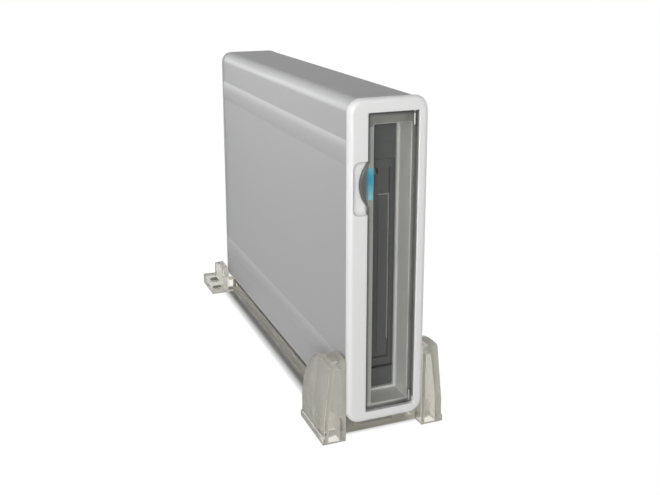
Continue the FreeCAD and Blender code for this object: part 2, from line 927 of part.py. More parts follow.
# Sockets at the back: each as its width, height, level and depth
BRIDGE_FACE = DRIVE_LEFT - size.tray_gap + size.spacer_length + size.board_thick
PANEL_INNER = behind(size.case_depth - size.panel_thick)
PORT_FACE = behind(size.case_depth - size.port_recess)
USB_LEVEL = size.case_height - size.usb_drop
JACK_LEVEL = size.case_height - size.jack_drop
TOGGLE_LEVEL = size.case_height - size.toggle_drop
BRIDGE_FRONT = size.case_depth - size.panel_thick - size.bridge_rear_gap - size.bridge_depth
BRIDGE_HEIGHT = size.case_height - size.bridge_bottom - size.bridge_top_gap


def port_frame(level, width, height, margin):
    """Loop round a socket on the bridge board."""
    low = above(level)
    return frame(BRIDGE_FACE - margin, low - margin, BRIDGE_FACE + height + margin, low + width + margin)


def rear_panel():
    """Back plate with tongues, socket cut-outs, vent slots and screw holes."""
    panel = Body()
    half = size.case_width / 2 - size.sleeve_inset
    thick = size.panel_thick
    panel.pad("y", PANEL_INNER, thick, frame(-half, SLEEVE_LOW, half, SLEEVE_HIGH))
    panel.round(size.case_corner - size.sleeve_inset, lambda edge: along(edge, "y"))
    panel.round(size.panel_edge, lambda edge: lies(edge, "y", behind(size.case_depth)))
    outer = SLEEVE_INNER - size.tongue_gap
    panel.pad("y", PANEL_INNER - size.tongue_depth, size.tongue_depth, *[
        frame(low, above(size.tongue_margin), high, above(size.case_height - size.tongue_margin))
        for low, high in ((-outer, size.tongue_wall - outer), (outer - size.tongue_wall, outer))])
    gap = size.port_gap
    panel.pocket("y", PANEL_INNER, thick,
                 usb_outline(-gap),
                 port_frame(JACK_LEVEL, size.jack_width, size.jack_height, gap),
                 port_frame(TOGGLE_LEVEL, size.toggle_width, size.toggle_height, gap))
    hole = size.screw_radius + size.port_gap
    panel.pocket("y", PANEL_INNER, thick, *[Round(centre, hole) for centre in rear_screw_places()])
    vent_low = above(size.vent_bottom)
    vent = panel.pocket("y", PANEL_INNER, thick, frame(
        -size.vent_length / 2, vent_low, size.vent_length / 2, vent_low + size.vent_width))
    pitch = (USB_LEVEL - size.vent_bottom - size.vent_gap) / size.vent_count
    panel.pattern(vent, "z", pitch, size.vent_count)
    return subpart(panel.body, "rear_panel")


def rear_screws():
    """Two pan-head screws that hold the rear panel to the tray."""
    screws = []
    for across_place, level in rear_screw_places():
        back = behind(size.case_depth)
        head = rod("y", (across_place, back, level), size.screw_head_radius, size.screw_head_height)
        reach = size.rear_screw_reach + size.panel_thick
        shank = rod("y", (across_place, back - reach, level), size.screw_radius, reach)
        screws.append(fuse(head, shank))
    return subpart(group(*screws), "rear_screws")


# Face of the drive mechanism
SLOT_LEFT = DRIVE_LEFT + size.slot_left
SLOT_RIGHT = SLOT_LEFT + size.slot_width
SLOT_LOW = DRIVE_MIDDLE - size.slot_length / 2
SLOT_HIGH = DRIVE_MIDDLE + size.slot_length / 2
FLAP_X = SLOT_LEFT + size.flap_pivot_in
FLAP_Y = inside(size.flap_set_back + size.flap_thick / 2)
BUTTON_Z = above(size.button_level)
BUTTON_X = across(size.button_place)


def button_frame(margin):
    """Loop of the eject button with a margin around it."""
    wide = size.button_width / 2 + margin
    tall = size.button_length / 2 + margin
    return frame(BUTTON_X - wide, BUTTON_Z - tall, BUTTON_X + wide, BUTTON_Z + tall)


def drive_bezel():
    """Dark face of the drive with the cartridge slot, button hole and light hole."""
    bezel = Body()
    front, thick = inside(ZERO), size.face_thick
    low, high = DRIVE_MIDDLE - size.drive_width / 2, DRIVE_MIDDLE + size.drive_width / 2
    bezel.pad("y", front, thick, frame(DRIVE_LEFT, low, DRIVE_LEFT + size.drive_thick, high))
    bezel.round(size.face_edge, lambda edge: lies(edge, "y", front))
    bezel.pocket("y", front, thick, frame(SLOT_LEFT, SLOT_LOW, SLOT_RIGHT, SLOT_HIGH))
    bezel.pocket("y", front, thick, button_frame(size.button_gap))
    flange_back = size.button_flange + size.button_travel
    bezel.pocket("y", inside(thick - flange_back), flange_back,
                 button_frame(size.button_flange + size.button_gap))
    bezel.pocket("y", front, thick,
                 Round((BUTTON_X, above(size.light_level)), size.light_radius + size.button_gap),
                 Round((BUTTON_X, above(size.pinhole_level)), size.pinhole_radius))
    bore = Round((FLAP_X, FLAP_Y), size.flap_pin_radius + size.running_gap)
    bezel.pocket("z", SLOT_HIGH, size.flap_pin_hold, bore)
    bezel.pocket("z", SLOT_LOW - size.flap_pin_hold, size.flap_pin_hold, bore)
    return subpart(bezel.body, "drive_bezel")


def slot_flap():
    """Sprung flap across the slot, its pin and its torsion spring."""
    gap = size.flap_gap
    spring_room = size.spring_turns * size.spring_pitch + 2 * gap + 2 * size.spring_wire
    low, high = SLOT_LOW + gap, SLOT_HIGH - gap - spring_room
    front = FLAP_Y - size.flap_thick / 2
    flap = Body()
    flap.pad("y", front, size.flap_thick, frame(FLAP_X, low, SLOT_RIGHT - gap, high))
    flap.pad("z", low, high - low, Round((FLAP_X, FLAP_Y), size.flap_barrel))
    panel_right = SLOT_RIGHT - gap
    flap.pad("y", front - size.flap_panel_rise, size.flap_panel_rise, frame(
        panel_right - size.flap_panel_width, low + size.flap_panel_margin,
        panel_right, low + size.flap_panel_margin + size.flap_panel_length))
    flap.pocket("z", low, high - low, Round((FLAP_X, FLAP_Y), size.flap_pin_radius + size.running_gap))
    subpart(flap.body, "slot_flap")
    length = size.slot_length + 2 * size.flap_pin_hold
    pin = rod("z", (FLAP_X, FLAP_Y, SLOT_LOW - size.flap_pin_hold), size.flap_pin_radius, length)
    subpart(pin, "flap_pin")
    helix = document.addObject("Part::Helix", "coil_line")
    coil_radius = size.flap_pin_radius + 2 * size.running_gap + size.spring_wire
    bind(helix, {"Pitch": size.spring_pitch, "Height": size.spring_pitch * size.spring_turns,
                 "Radius": coil_radius})
    put(helix, (FLAP_X, FLAP_Y, high + gap + size.spring_wire))
    wire = document.addObject("Part::RegularPolygon", "wire_square")
    wire.Polygon = 4
    bind(wire, {"Circumradius": size.spring_wire})
    wire.Placement = FreeCAD.Placement(FreeCAD.Vector(), AXIS_TURN["y"])
    put(wire, (FLAP_X + coil_radius, FLAP_Y, high + gap + size.spring_wire))
    coil = document.addObject("Part::Sweep", "coil")
    coil.Sections = [wire]
    coil.Spine = (helix, ["Edge1"])
    coil.Solid = True
    coil.Frenet = True
    subpart(coil, "flap_spring")


def eject_button():
    """Push button with a flange that stops it in the drive bezel and a stem."""
    button = Body()
    front = inside(-size.button_proud)
    flange = inside(size.face_thick - size.button_flange - size.button_travel)
    button.pad("y", front, flange - front, button_frame(ZERO))
    button.pad("y", flange, size.button_flange, button_frame(size.button_flange))
    stem_back = inside(size.front_board_place - size.switch_height - size.button_travel - size.running_gap)
    start = flange + size.button_flange
    button.pad("y", start, stem_back - start, Round((BUTTON_X, BUTTON_Z), size.button_stem))
    return subpart(button.body, "eject_button")


def front_board():
    """Small board behind the drive bezel with the eject switch and the activity light."""
    place = inside(size.front_board_place)
    board = box(
        (across(size.front_board_low), place, DRIVE_MIDDLE - size.front_board_level),
        (size.front_board_width, size.front_board_thick, size.front_board_length))
    subpart(board, "front_board")
    side = size.switch_side / 2
    switch = span(
        (BUTTON_X - side, place - size.switch_height, BUTTON_Z - side),
        (BUTTON_X + side, place, BUTTON_Z + side))
    subpart(switch, "eject_switch")
    light = rod("y", (BUTTON_X, inside(ZERO), above(size.light_level)),
                size.light_radius, size.front_board_place)
    subpart(light, "activity_light")


# Drive mechanism
DECK_TOP = across(size.deck_low + size.deck_thick)
INSIDE_HALF = size.drive_width / 2 - size.wall_thick - size.skirt_thick
SPINDLE_Y = inside(size.spindle_place)
COVER_LOW = across(size.drive_thick - size.cover_thick)
COVER_HIGH = DRIVE_LEFT + size.drive_thick
DECK_END = size.plug_front - size.deck_gap
PIN_PLACES = (size.pin_front, size.pin_rear)


def boss_places():
    """Y and Z of the four screw bosses under the drive."""
    reach = size.drive_width / 2 - size.boss_inset
    return [(inside(place), DRIVE_MIDDLE + side * reach)
            for place in (size.boss_front, size.boss_rear) for side in (-1, 1)]


def board_posts():
    """Y and Z of the four posts that carry the drive's circuit board."""
    reach = size.drive_board_half - size.board_post_inset
    front = inside(size.drive_board_front + size.board_post_inset)
    rear = inside(DECK_END - size.board_post_inset)
    return [(place, DRIVE_MIDDLE + side * reach) for place in (front, rear) for side in (-1, 1)]


def drive_base():
    """Cast deck with side walls, ribs, cartridge locators, screw bosses, board posts and guide slots."""
    front_edge = inside(size.front_board_place + size.front_board_thick)
    base = Body()
    base.pad("x", across(size.deck_low), size.deck_thick, frame(
        front_edge, DRIVE_MIDDLE - INSIDE_HALF - size.wall_thick,
        inside(DECK_END), DRIVE_MIDDLE + INSIDE_HALF + size.wall_thick))
    walls = []
    for side in (-1, 1):
        edges = sorted((side * INSIDE_HALF, side * (INSIDE_HALF + size.wall_thick)),
                       key=lambda edge: edge.value)
        walls.append(frame(inside(size.face_thick), DRIVE_MIDDLE + edges[0],
                           inside(size.wall_end), DRIVE_MIDDLE + edges[1]))
    base.pad("x", DRIVE_LEFT, size.drive_thick - size.cover_thick, *walls)
    base.pad("x", DRIVE_LEFT, size.deck_low + size.deck_thick / 2, *[
        Round(centre, size.boss_radius) for centre in boss_places()])
    board_top = size.drive_board_low + size.board_thick
    base.pad("x", across(board_top), size.deck_low + size.deck_thick / 2 - board_top, *[
        Round(centre, size.board_post_radius) for centre in board_posts()])
    root = DECK_TOP - size.deck_thick / 2
    base.pad("x", root, size.rib_rise + size.deck_thick / 2, *[
        frame(inside(size.rib_front), DRIVE_MIDDLE + side * size.rib_place - size.rib_thick / 2,
              inside(size.rib_end), DRIVE_MIDDLE + side * size.rib_place + size.rib_thick / 2)
        for side in (-1, 1)])
    base.pad("x", root, across(size.locator_top) - root, *[
        Round((inside(size.locator_front), DRIVE_MIDDLE + side * size.locator_place), size.locator_radius)
        for side in (-1, 1)])
    half = size.rod_post_width / 2
    ends = (inside(size.carriage_front - size.rod_end_gap - size.rod_post_thick), ROD_END)
    base.pad("x", root, size.rod_post_height + size.deck_thick / 2, *[
        frame(start, DRIVE_MIDDLE + side * size.rod_spacing - half,
              start + size.rod_post_thick, DRIVE_MIDDLE + side * size.rod_spacing + half)
        for start in ends for side in (-1, 1)])
    base.pocket("x", DRIVE_LEFT, size.deck_low + size.deck_thick, *[
        Round(centre, size.boss_bore) for centre in boss_places()])
    reach = size.pin_radius + size.running_gap
    low, high = across(size.pin_level - size.load_drop), across(size.pin_level)
    slots = [Outline([
        (high, inside(place) - reach), (high, inside(place) + reach),
        (low, inside(place) + reach), (low, inside(place) - reach)],
        {0: (high, inside(place)), 2: (low, inside(place))}) for place in PIN_PLACES]
    base.pocket("z", DRIVE_MIDDLE - size.drive_width / 2, size.drive_width, *slots)
    return subpart(base.body, "drive_base")


ROD_END = inside(size.carriage_front + size.carriage_length + size.seek_travel + size.rod_end_gap)


def drive_cover():
    """Sheet cover of the drive with a raised panel, a rear lip and a skirt down each side wall."""
    half = size.drive_width / 2
    front, back = inside(size.face_thick), inside(size.drive_length)
    top = span((COVER_LOW, front, DRIVE_MIDDLE - half), (COVER_HIGH, back, DRIVE_MIDDLE + half))
    lip = span((COVER_LOW - size.cover_lip, back - size.cover_thick, DRIVE_MIDDLE - half),
               (COVER_HIGH, back, DRIVE_MIDDLE + half))
    skirts = [box((COVER_LOW - size.skirt_reach, front, place),
                  (size.skirt_reach + size.cover_thick, back - front, size.skirt_thick))
              for place in (DRIVE_MIDDLE - half, DRIVE_MIDDLE + half - size.skirt_thick)]
    start, end = inside(size.emboss_front), inside(size.emboss_end)
    rise, fold = size.emboss_rise, size.cover_thick
    low, high = DRIVE_MIDDLE - size.emboss_half, DRIVE_MIDDLE + size.emboss_half
    panel = span((COVER_LOW + rise, start, low), (COVER_HIGH + rise, end, high))
    dip = span((COVER_LOW, start + fold, low + fold), (COVER_LOW + rise, end - fold, high - fold))
    return subpart(cut(fuse(top, lip, panel, *skirts), dip), "drive_cover")


def drive_board():
    """Circuit board under the deck with its row of chips."""
    low = across(size.drive_board_low)
    board = span(
        (low, inside(size.drive_board_front), DRIVE_MIDDLE - size.drive_board_half),
        (low + size.board_thick, inside(size.drive_board_end), DRIVE_MIDDLE + size.drive_board_half))
    subpart(board, "drive_board")
    half = size.chip_side / 2
    chips = [box((low + size.board_thick, SPINDLE_Y + step * size.chip_pitch - half, DRIVE_MIDDLE - half),
                 (size.chip_thick, size.chip_side, size.chip_side)) for step in (-1, 0, 1)]
    subpart(group(*chips), "drive_chips")


def spindle():
    """Flat spindle motor on the deck and the turntable that it spins."""
    centre = (SPINDLE_Y, DRIVE_MIDDLE)
    bore = size.shaft_radius + size.running_gap
    stator = cut(rod("x", (DECK_TOP, *centre), size.stator_radius, size.stator_height),
                 rod("x", (DECK_TOP, *centre), bore, size.stator_height))
    subpart(stator, "spindle_motor")
    low = across(size.rotor_low)
    rotor = fuse(
        rod("x", (low, *centre), size.rotor_radius, size.rotor_height),
        rod("x", (low, *centre), size.nose_radius, size.rotor_height + size.nose_height),
        rod("x", (across(size.shaft_foot), *centre), size.shaft_radius, low - across(size.shaft_foot)))
    subpart(rotor, "turntable")


def head_carriage():
    """Carriage with its lens and coils, the rods that guide it and the magnets that drive it."""
    low, front = across(size.carriage_low), inside(size.carriage_front)
    rods = [(across(size.rod_level), DRIVE_MIDDLE + side * size.rod_spacing) for side in (-1, 1)]
    block = box((low, front, DRIVE_MIDDLE - size.carriage_half),
                (size.carriage_height, size.carriage_length, 2 * size.carriage_half))
    bores = [rod("y", (place, front, level), size.rod_radius + size.running_gap, size.carriage_length)
             for place, level in rods]
    lens_y = SPINDLE_Y + size.lens_place
    beam = rod("y", (across(size.rod_level), lens_y, DRIVE_MIDDLE), size.beam_radius,
               front + size.carriage_length - lens_y)
    subpart(cut(block, *bores, beam), "head_carriage")
    lens = rod("x", (low + size.carriage_height, lens_y, DRIVE_MIDDLE), size.lens_radius, size.lens_height)
    subpart(lens, "objective_lens")
    rod_front = front - size.rod_end_gap
    guides = [rod("y", (place, rod_front, level), size.rod_radius, ROD_END - rod_front)
              for place, level in rods]
    subpart(group(*guides), "guide_rods")
    linear_motor(front)


def linear_motor(front):
    """Two voice coils on the carriage, each round the pole of a fixed magnet frame."""
    coils, yokes, magnets = [], [], []
    margin = (size.carriage_length - size.coil_length) / 2
    coil_low = across(size.coil_low)
    yoke_front = inside(size.yoke_front)
    yoke_end = ROD_END + size.rod_end_gap
    for side in (-1, 1):
        def band(near_edge, far_edge):
            """Lower and upper Z of a strip beside the carriage."""
            low, high = DRIVE_MIDDLE + side * near_edge, DRIVE_MIDDLE + side * far_edge
            return (low, high) if side > 0 else (high, low)

        inner = size.carriage_half
        outer = inner + size.coil_width
        low, high = band(inner, outer)
        ring = span((coil_low, front + margin, low),
                    (coil_low + size.coil_height, front + margin + size.coil_length, high))
        low, high = band(inner + size.coil_side, outer - size.coil_side)
        hole = span((coil_low + size.coil_face, front + margin, low),
                    (coil_low + size.coil_height - size.coil_face, front + margin + size.coil_length, high))
        coils.append(cut(ring, hole))
        middle = inner + size.coil_width / 2
        low, high = band(middle - size.pole_width / 2, middle + size.pole_width / 2)
        pole_low = coil_low + size.coil_height / 2 - size.pole_height / 2
        pole = span((pole_low, yoke_front, low), (pole_low + size.pole_height, yoke_end, high))
        face = outer + size.coil_air + size.magnet_thick
        low, high = band(face, face + size.yoke_bar)
        bar = span((DECK_TOP, yoke_front, low), (DECK_TOP + size.yoke_height, yoke_end, high))
        low, high = band(middle - size.pole_width / 2, face + size.yoke_bar)
        plates = [span((DECK_TOP, start, low), (DECK_TOP + size.yoke_height, start + size.yoke_plate, high))
                  for start in (yoke_front, yoke_end - size.yoke_plate)]
        yokes.append(fuse(pole, bar, *plates))
        low, high = band(outer + size.coil_air, face)
        magnets.append(span((DECK_TOP, yoke_front + size.yoke_plate, low),
                            (DECK_TOP + size.yoke_height, yoke_end - size.yoke_plate, high)))
    subpart(group(*coils), "carriage_coils")
    subpart(group(*yokes), "magnet_yokes")
    subpart(group(*magnets), "actuator_magnets")


def fixed_optics():
    """Optics block at the back of the deck with its laser."""
    front = inside(size.optics_front)
    block = box((DECK_TOP, front, DRIVE_MIDDLE - size.optics_half),
                (size.optics_height, size.optics_length, 2 * size.optics_half))
    tube = rod("y", (across(size.rod_level), front - size.beam_length, DRIVE_MIDDLE),
               size.beam_radius, size.beam_length)
    subpart(fuse(block, tube), "optics_block")
    laser = rod("z", (across(size.laser_level), front + size.optics_length / 2,
                      DRIVE_MIDDLE + size.optics_half), size.laser_radius, size.laser_length)
    subpart(laser, "laser_diode")


def cartridge_holder():
    """Folded sheet holder with lips for the cartridge and four guide pins."""
    front, back = inside(size.holder_front), inside(size.holder_front + size.holder_length)
    sheet_thick, half = size.holder_sheet, size.holder_inside / 2
    low = across(size.holder_low)
    roof = low + sheet_thick + size.cartridge_room
    edge = half + sheet_thick
    holder = Body()
    holder.pad("y", front, back - front, Outline([
        (low, DRIVE_MIDDLE - half + size.holder_lip), (low, DRIVE_MIDDLE - edge),
        (roof + sheet_thick, DRIVE_MIDDLE - edge), (roof + sheet_thick, DRIVE_MIDDLE + edge),
        (low, DRIVE_MIDDLE + edge), (low, DRIVE_MIDDLE + half - size.holder_lip),
        (low + sheet_thick, DRIVE_MIDDLE + half - size.holder_lip),
        (low + sheet_thick, DRIVE_MIDDLE + half), (roof, DRIVE_MIDDLE + half),
        (roof, DRIVE_MIDDLE - half), (low + sheet_thick, DRIVE_MIDDLE - half),
        (low + sheet_thick, DRIVE_MIDDLE - half + size.holder_lip)]))
    window = size.holder_window / 2
    holder.pocket("x", roof, sheet_thick, frame(
        inside(size.holder_window_front), DRIVE_MIDDLE - window, back, DRIVE_MIDDLE + window))
    pins = [Round((across(size.pin_level), inside(place)), size.pin_radius) for place in PIN_PLACES]
    length = size.pin_length + sheet_thick / 2
    holder.pad("z", DRIVE_MIDDLE + edge - sheet_thick / 2, length, *pins)
    holder.pad("z", DRIVE_MIDDLE - edge + sheet_thick / 2 - length, length, *pins)
    return subpart(holder.body, "cartridge_holder")


def loading_slider():
    """Sliding plate with slanted cam slots for the holder's pins and a rack for the pinion."""
    thick, level = size.slider_sheet, across(size.slider_level)
    edge = size.holder_inside / 2 + size.holder_sheet + size.slider_gap + thick
    front, back = inside(size.slider_front), inside(size.slider_end)
    inner = edge - size.slider_bar
    slider = Body()
    slider.pad("x", level, thick, Outline([
        (front, DRIVE_MIDDLE - edge), (back, DRIVE_MIDDLE - edge), (back, DRIVE_MIDDLE - inner),
        (front + size.slider_bridge, DRIVE_MIDDLE - inner),
        (front + size.slider_bridge, DRIVE_MIDDLE + inner), (back, DRIVE_MIDDLE + inner),
        (back, DRIVE_MIDDLE + edge), (front, DRIVE_MIDDLE + edge)]))
    skirt_low = across(size.slider_skirt_low)
    skirt_end = inside(size.slider_skirt_end)
    skirt = frame(skirt_low, front, level + thick, skirt_end)
    for start in (DRIVE_MIDDLE - edge, DRIVE_MIDDLE + edge - thick):
        slider.pad("z", start, thick, skirt)
    slant = diagonal(size.load_drop, size.load_travel)
    radius = size.pin_radius + size.running_gap
    side_x = radius * size.load_travel / slant
    side_y = radius * size.load_drop / slant
    slots = []
    for place in PIN_PLACES:
        top = (across(size.pin_level), inside(place))
        foot = (top[0] - size.load_drop, top[1] - size.load_travel)
        slots.append(Outline([
            (top[0] + side_x, top[1] - side_y), (top[0] - side_x, top[1] + side_y),
            (foot[0] - side_x, foot[1] + side_y), (foot[0] + side_x, foot[1] - side_y)],
            {0: top, 2: foot}))
    slider.pocket("z", DRIVE_MIDDLE - edge, 2 * edge, *slots)
    pitch = math.pi * size.tooth_module
    tooth_y = inside(size.rack_front)
    pitch_line = DRIVE_MIDDLE + inner - size.tooth_depth
    bar_edge, tip_line = DRIVE_MIDDLE + inner, pitch_line - size.tooth_rise
    tooth = slider.pad("x", level, thick, Outline([
        (tooth_y - size.tooth_root, bar_edge), (tooth_y - size.tooth_tip, tip_line),
        (tooth_y + size.tooth_tip, tip_line), (tooth_y + size.tooth_root, bar_edge)]))
    slider.pattern(tooth, "y", pitch, size.rack_teeth)
    return subpart(slider.body, "loading_slider")


PITCH_RADIUS = size.pinion_teeth * size.tooth_module / 2
RACK_LINE = (size.holder_inside / 2 + size.holder_sheet + size.slider_gap + size.slider_sheet
             - size.slider_bar - size.tooth_depth)
PINION_Z = DRIVE_MIDDLE + RACK_LINE - PITCH_RADIUS


def eject_drive():
    """Small motor on the deck and its pinion in mesh with the slider's rack."""
    centre = (inside(size.motor_place), PINION_Z)
    floor = DECK_TOP + size.motor_floor
    top = DECK_TOP + size.motor_height
    can = rod("x", (DECK_TOP, *centre), size.motor_radius, size.motor_height)
    bore = rod("x", (floor, *centre), size.motor_shaft + size.running_gap, top - floor)
    subpart(cut(can, bore), "eject_motor")
    pinion = Body()
    low, thick = across(size.pinion_low), size.pinion_thick
    foot = floor + size.seat_gap
    pinion.pad("x", foot, low + thick - foot, Round(centre, size.motor_shaft))
    root = PITCH_RADIUS - size.tooth_depth
    pinion.pad("x", low, thick, Round(centre, root))
    tip = PITCH_RADIUS + size.tooth_rise
    count = int(round(size.pinion_teeth.value))
    start = pinion_phase()
    teeth = []
    for number in range(count):
        angle = start + 2 * math.pi * number / count
        out, side = (math.cos(angle), math.sin(angle)), (-math.sin(angle), math.cos(angle))
        corners = ((root - size.tooth_depth / 2, -size.tooth_root), (tip, -size.tooth_tip),
                   (tip, size.tooth_tip), (root - size.tooth_depth / 2, size.tooth_root))
        teeth.append(Outline([
            (centre[0] + reach * out[0] + half * side[0], centre[1] + reach * out[1] + half * side[1])
            for reach, half in corners]))
    for tooth in teeth:
        pinion.pad("x", low, thick, tooth)
    subpart(pinion.body, "eject_pinion")


def pinion_phase():
    """Angle of the first tooth that puts a gap of the pinion over a tooth of the rack."""
    pitch = math.pi * size.tooth_module.value
    offset = (size.motor_place.value - size.rack_front.value) / pitch
    part_tooth = offset - math.floor(offset)
    step = 2 * math.pi / size.pinion_teeth.value
    return math.pi / 2 + step / 2 + part_tooth * step


def bias_coil():
    """Bias coil under the drive cover, over the path of the lens."""
    front = inside(size.bias_front)
    item = box((COVER_LOW - size.bias_height, front, DRIVE_MIDDLE - size.bias_half),
               (size.bias_height, size.bias_length, 2 * size.bias_half))
    return subpart(item, "bias_coil")


# Chassis and electronics behind the drive, with hex-head screws whose shanks are plain bars
TRAY_FACE = DRIVE_LEFT - size.tray_gap
SHANK_SIDES = 8


def chassis_tray():
    """Folded steel tray with cooling windows that carries the drive and the bridge board."""
    outer = TRAY_FACE - size.tray_thick
    front, back = behind(size.tunnel_end + size.fascia_thick), PANEL_INNER
    low, high = above(size.tray_margin), above(size.case_height - size.tray_margin)
    tray = Body()
    lip = outer + size.tray_flange
    thick = size.tray_thick
    tray.pad("y", front, back - front, Outline([
        (outer, low), (lip, low), (lip, low + thick), (TRAY_FACE, low + thick),
        (TRAY_FACE, high - thick), (lip, high - thick), (lip, high), (outer, high)]))
    tray.pocket("x", outer, thick, *[Round(centre, size.tray_hole) for centre in boss_places()])
    wide, tall = size.tray_vent_width / 2, size.tray_vent_height / 2
    vents = [SPINDLE_Y + step * size.tray_vent_pitch for step in (-1, 0, 1)]
    tray.pocket("x", outer, thick, *[
        frame(middle - wide, DRIVE_MIDDLE - tall, middle + wide, DRIVE_MIDDLE + tall) for middle in vents])
    tray.pad("y", back - size.ear_thick, size.ear_thick, *[
        frame(outer, bottom, outer + size.ear_width, bottom + size.ear_height)
        for bottom in (low, high - size.ear_height)])
    tray.pocket("y", back - size.ear_thick, size.ear_thick, *[
        Round(centre, size.screw_radius + size.running_gap) for centre in rear_screw_places()])
    return subpart(tray.body, "chassis_tray")


def drive_mounts():
    """Rubber grommets between tray and drive, and the screws through them."""
    grommets, screws = [], []
    outer = TRAY_FACE - size.tray_thick
    for centre in boss_places():
        ring = rod("x", (TRAY_FACE, *centre), size.grommet_radius, size.tray_gap)
        bore = rod("x", (TRAY_FACE, *centre), size.tray_hole, size.tray_gap)
        grommets.append(cut(ring, bore))
        head_height = size.screw_head_height
        head = prism((outer - head_height, *centre), size.screw_head_radius, head_height)
        reach = size.tray_thick + size.tray_gap + size.drive_screw_reach
        screws.append(fuse(head, prism((outer, *centre), size.screw_radius, reach, SHANK_SIDES)))
    subpart(group(*grommets), "drive_grommets")
    subpart(group(*screws), "drive_screws")


def spacer_places():
    """Y and Z of the four spacers under the bridge board."""
    front, back = BRIDGE_FRONT + size.bridge_inset, BRIDGE_FRONT + size.bridge_depth - size.bridge_inset
    low = size.bridge_bottom + size.bridge_inset
    high = size.bridge_bottom + BRIDGE_HEIGHT - size.bridge_inset
    return [(behind(place), above(level)) for place in (front, back) for level in (low, high)]


def bridge_board():
    """Interface board on spacers with its chips, header and screws."""
    low = TRAY_FACE + size.spacer_length
    plain = box((low, behind(BRIDGE_FRONT), above(size.bridge_bottom)),
                (size.board_thick, size.bridge_depth, BRIDGE_HEIGHT))
    hole = size.screw_radius + size.port_gap
    holes = [rod("x", (low, *centre), hole, size.board_thick) for centre in spacer_places()]
    subpart(cut(plain, *holes), "bridge_board")
    spacers = [cut(prism((TRAY_FACE, *centre), size.spacer_radius, size.spacer_length),
                   rod("x", (TRAY_FACE, *centre), hole, size.spacer_length)) for centre in spacer_places()]
    subpart(group(*spacers), "board_spacers")
    screws = []
    for centre in spacer_places():
        head = prism((BRIDGE_FACE, *centre), size.screw_head_radius, size.screw_head_height)
        reach = size.bridge_screw_reach
        shank = prism((BRIDGE_FACE - reach, *centre), size.screw_radius, reach, SHANK_SIDES)
        screws.append(fuse(head, shank))
    subpart(group(*screws), "board_screws")
    side = size.bridge_chip_side
    room = behind(BRIDGE_FRONT + size.header_depth) + PORT_FACE - size.usb_depth
    chips = [box((BRIDGE_FACE, room / 2 - side / 2, above(level)), (size.chip_thick, side, side))
             for level in (size.bridge_bottom + side, JACK_LEVEL)]
    subpart(group(*chips), "bridge_chips")
    header = box((BRIDGE_FACE, behind(BRIDGE_FRONT), DRIVE_MIDDLE - size.ribbon_half),
                 (size.header_height, size.header_depth, 2 * size.ribbon_half))
    subpart(header, "bridge_header")


def drive_connector():
    """Socket at the back of the drive and the flat cable to the bridge board."""
    low = across(size.drive_board_low + size.board_thick)
    front = inside(size.plug_front)
    socket = box((low, front, DRIVE_MIDDLE - size.plug_half),
                 (size.plug_height, size.plug_length, 2 * size.plug_half))
    subpart(socket, "drive_connector")
    ribbon = span((low + size.ribbon_level, front + size.plug_length, DRIVE_MIDDLE - size.ribbon_half),
                  (low + size.ribbon_level + size.ribbon_thick, behind(BRIDGE_FRONT),
                   DRIVE_MIDDLE + size.ribbon_half))
    subpart(ribbon, "ribbon_cable")


def usb_outline(margin):
    """Loop of the data socket with two slanted corners, drawn in by a margin."""
    low = above(USB_LEVEL) + margin
    high = above(USB_LEVEL) + size.usb_width - margin
    left, right = BRIDGE_FACE + margin, BRIDGE_FACE + size.usb_height - margin
    slant = size.usb_slant
    return Outline([(left, low), (right - slant, low), (right, low + slant),
                    (right, high - slant), (right - slant, high), (left, high)])


def usb_port():
    """Data socket with two slanted corners and the tongue in its well."""
    start = PORT_FACE - size.usb_depth
    port = Body()
    port.pad("y", start, size.usb_depth, usb_outline(ZERO))
    port.pocket("y", PORT_FACE - size.usb_well, size.usb_well, usb_outline(size.usb_shell))
    middle_x, middle_z = BRIDGE_FACE + size.usb_height / 2, above(USB_LEVEL) + size.usb_width / 2
    wide, tall = size.usb_tongue_thick / 2, size.usb_tongue / 2
    port.pad("y", start, size.usb_depth - size.usb_shell, frame(
        middle_x - wide, middle_z - tall, middle_x + wide, middle_z + tall))
    return subpart(port.body, "usb_port")


def power_jack():
    """Round power inlet with its centre pin."""
    low = above(JACK_LEVEL)
    middle = (BRIDGE_FACE + size.jack_height / 2, low + size.jack_width / 2)
    shell = box((BRIDGE_FACE, PORT_FACE - size.jack_depth, low),
                (size.jack_height, size.jack_depth, size.jack_width))
    well = rod("y", (middle[0], PORT_FACE - size.jack_well, middle[1]), size.jack_bore, size.jack_well)
    pin = rod("y", (middle[0], PORT_FACE - size.jack_depth, middle[1]), size.jack_pin,
              size.jack_depth - size.usb_shell)
    return subpart(fuse(cut(shell, well), pin), "power_jack")


TOGGLE_X = BRIDGE_FACE + size.toggle_height / 2
TOGGLE_Z = above(TOGGLE_LEVEL) + size.toggle_width / 2
ROCKER_Y = PORT_FACE - size.rocker_pivot


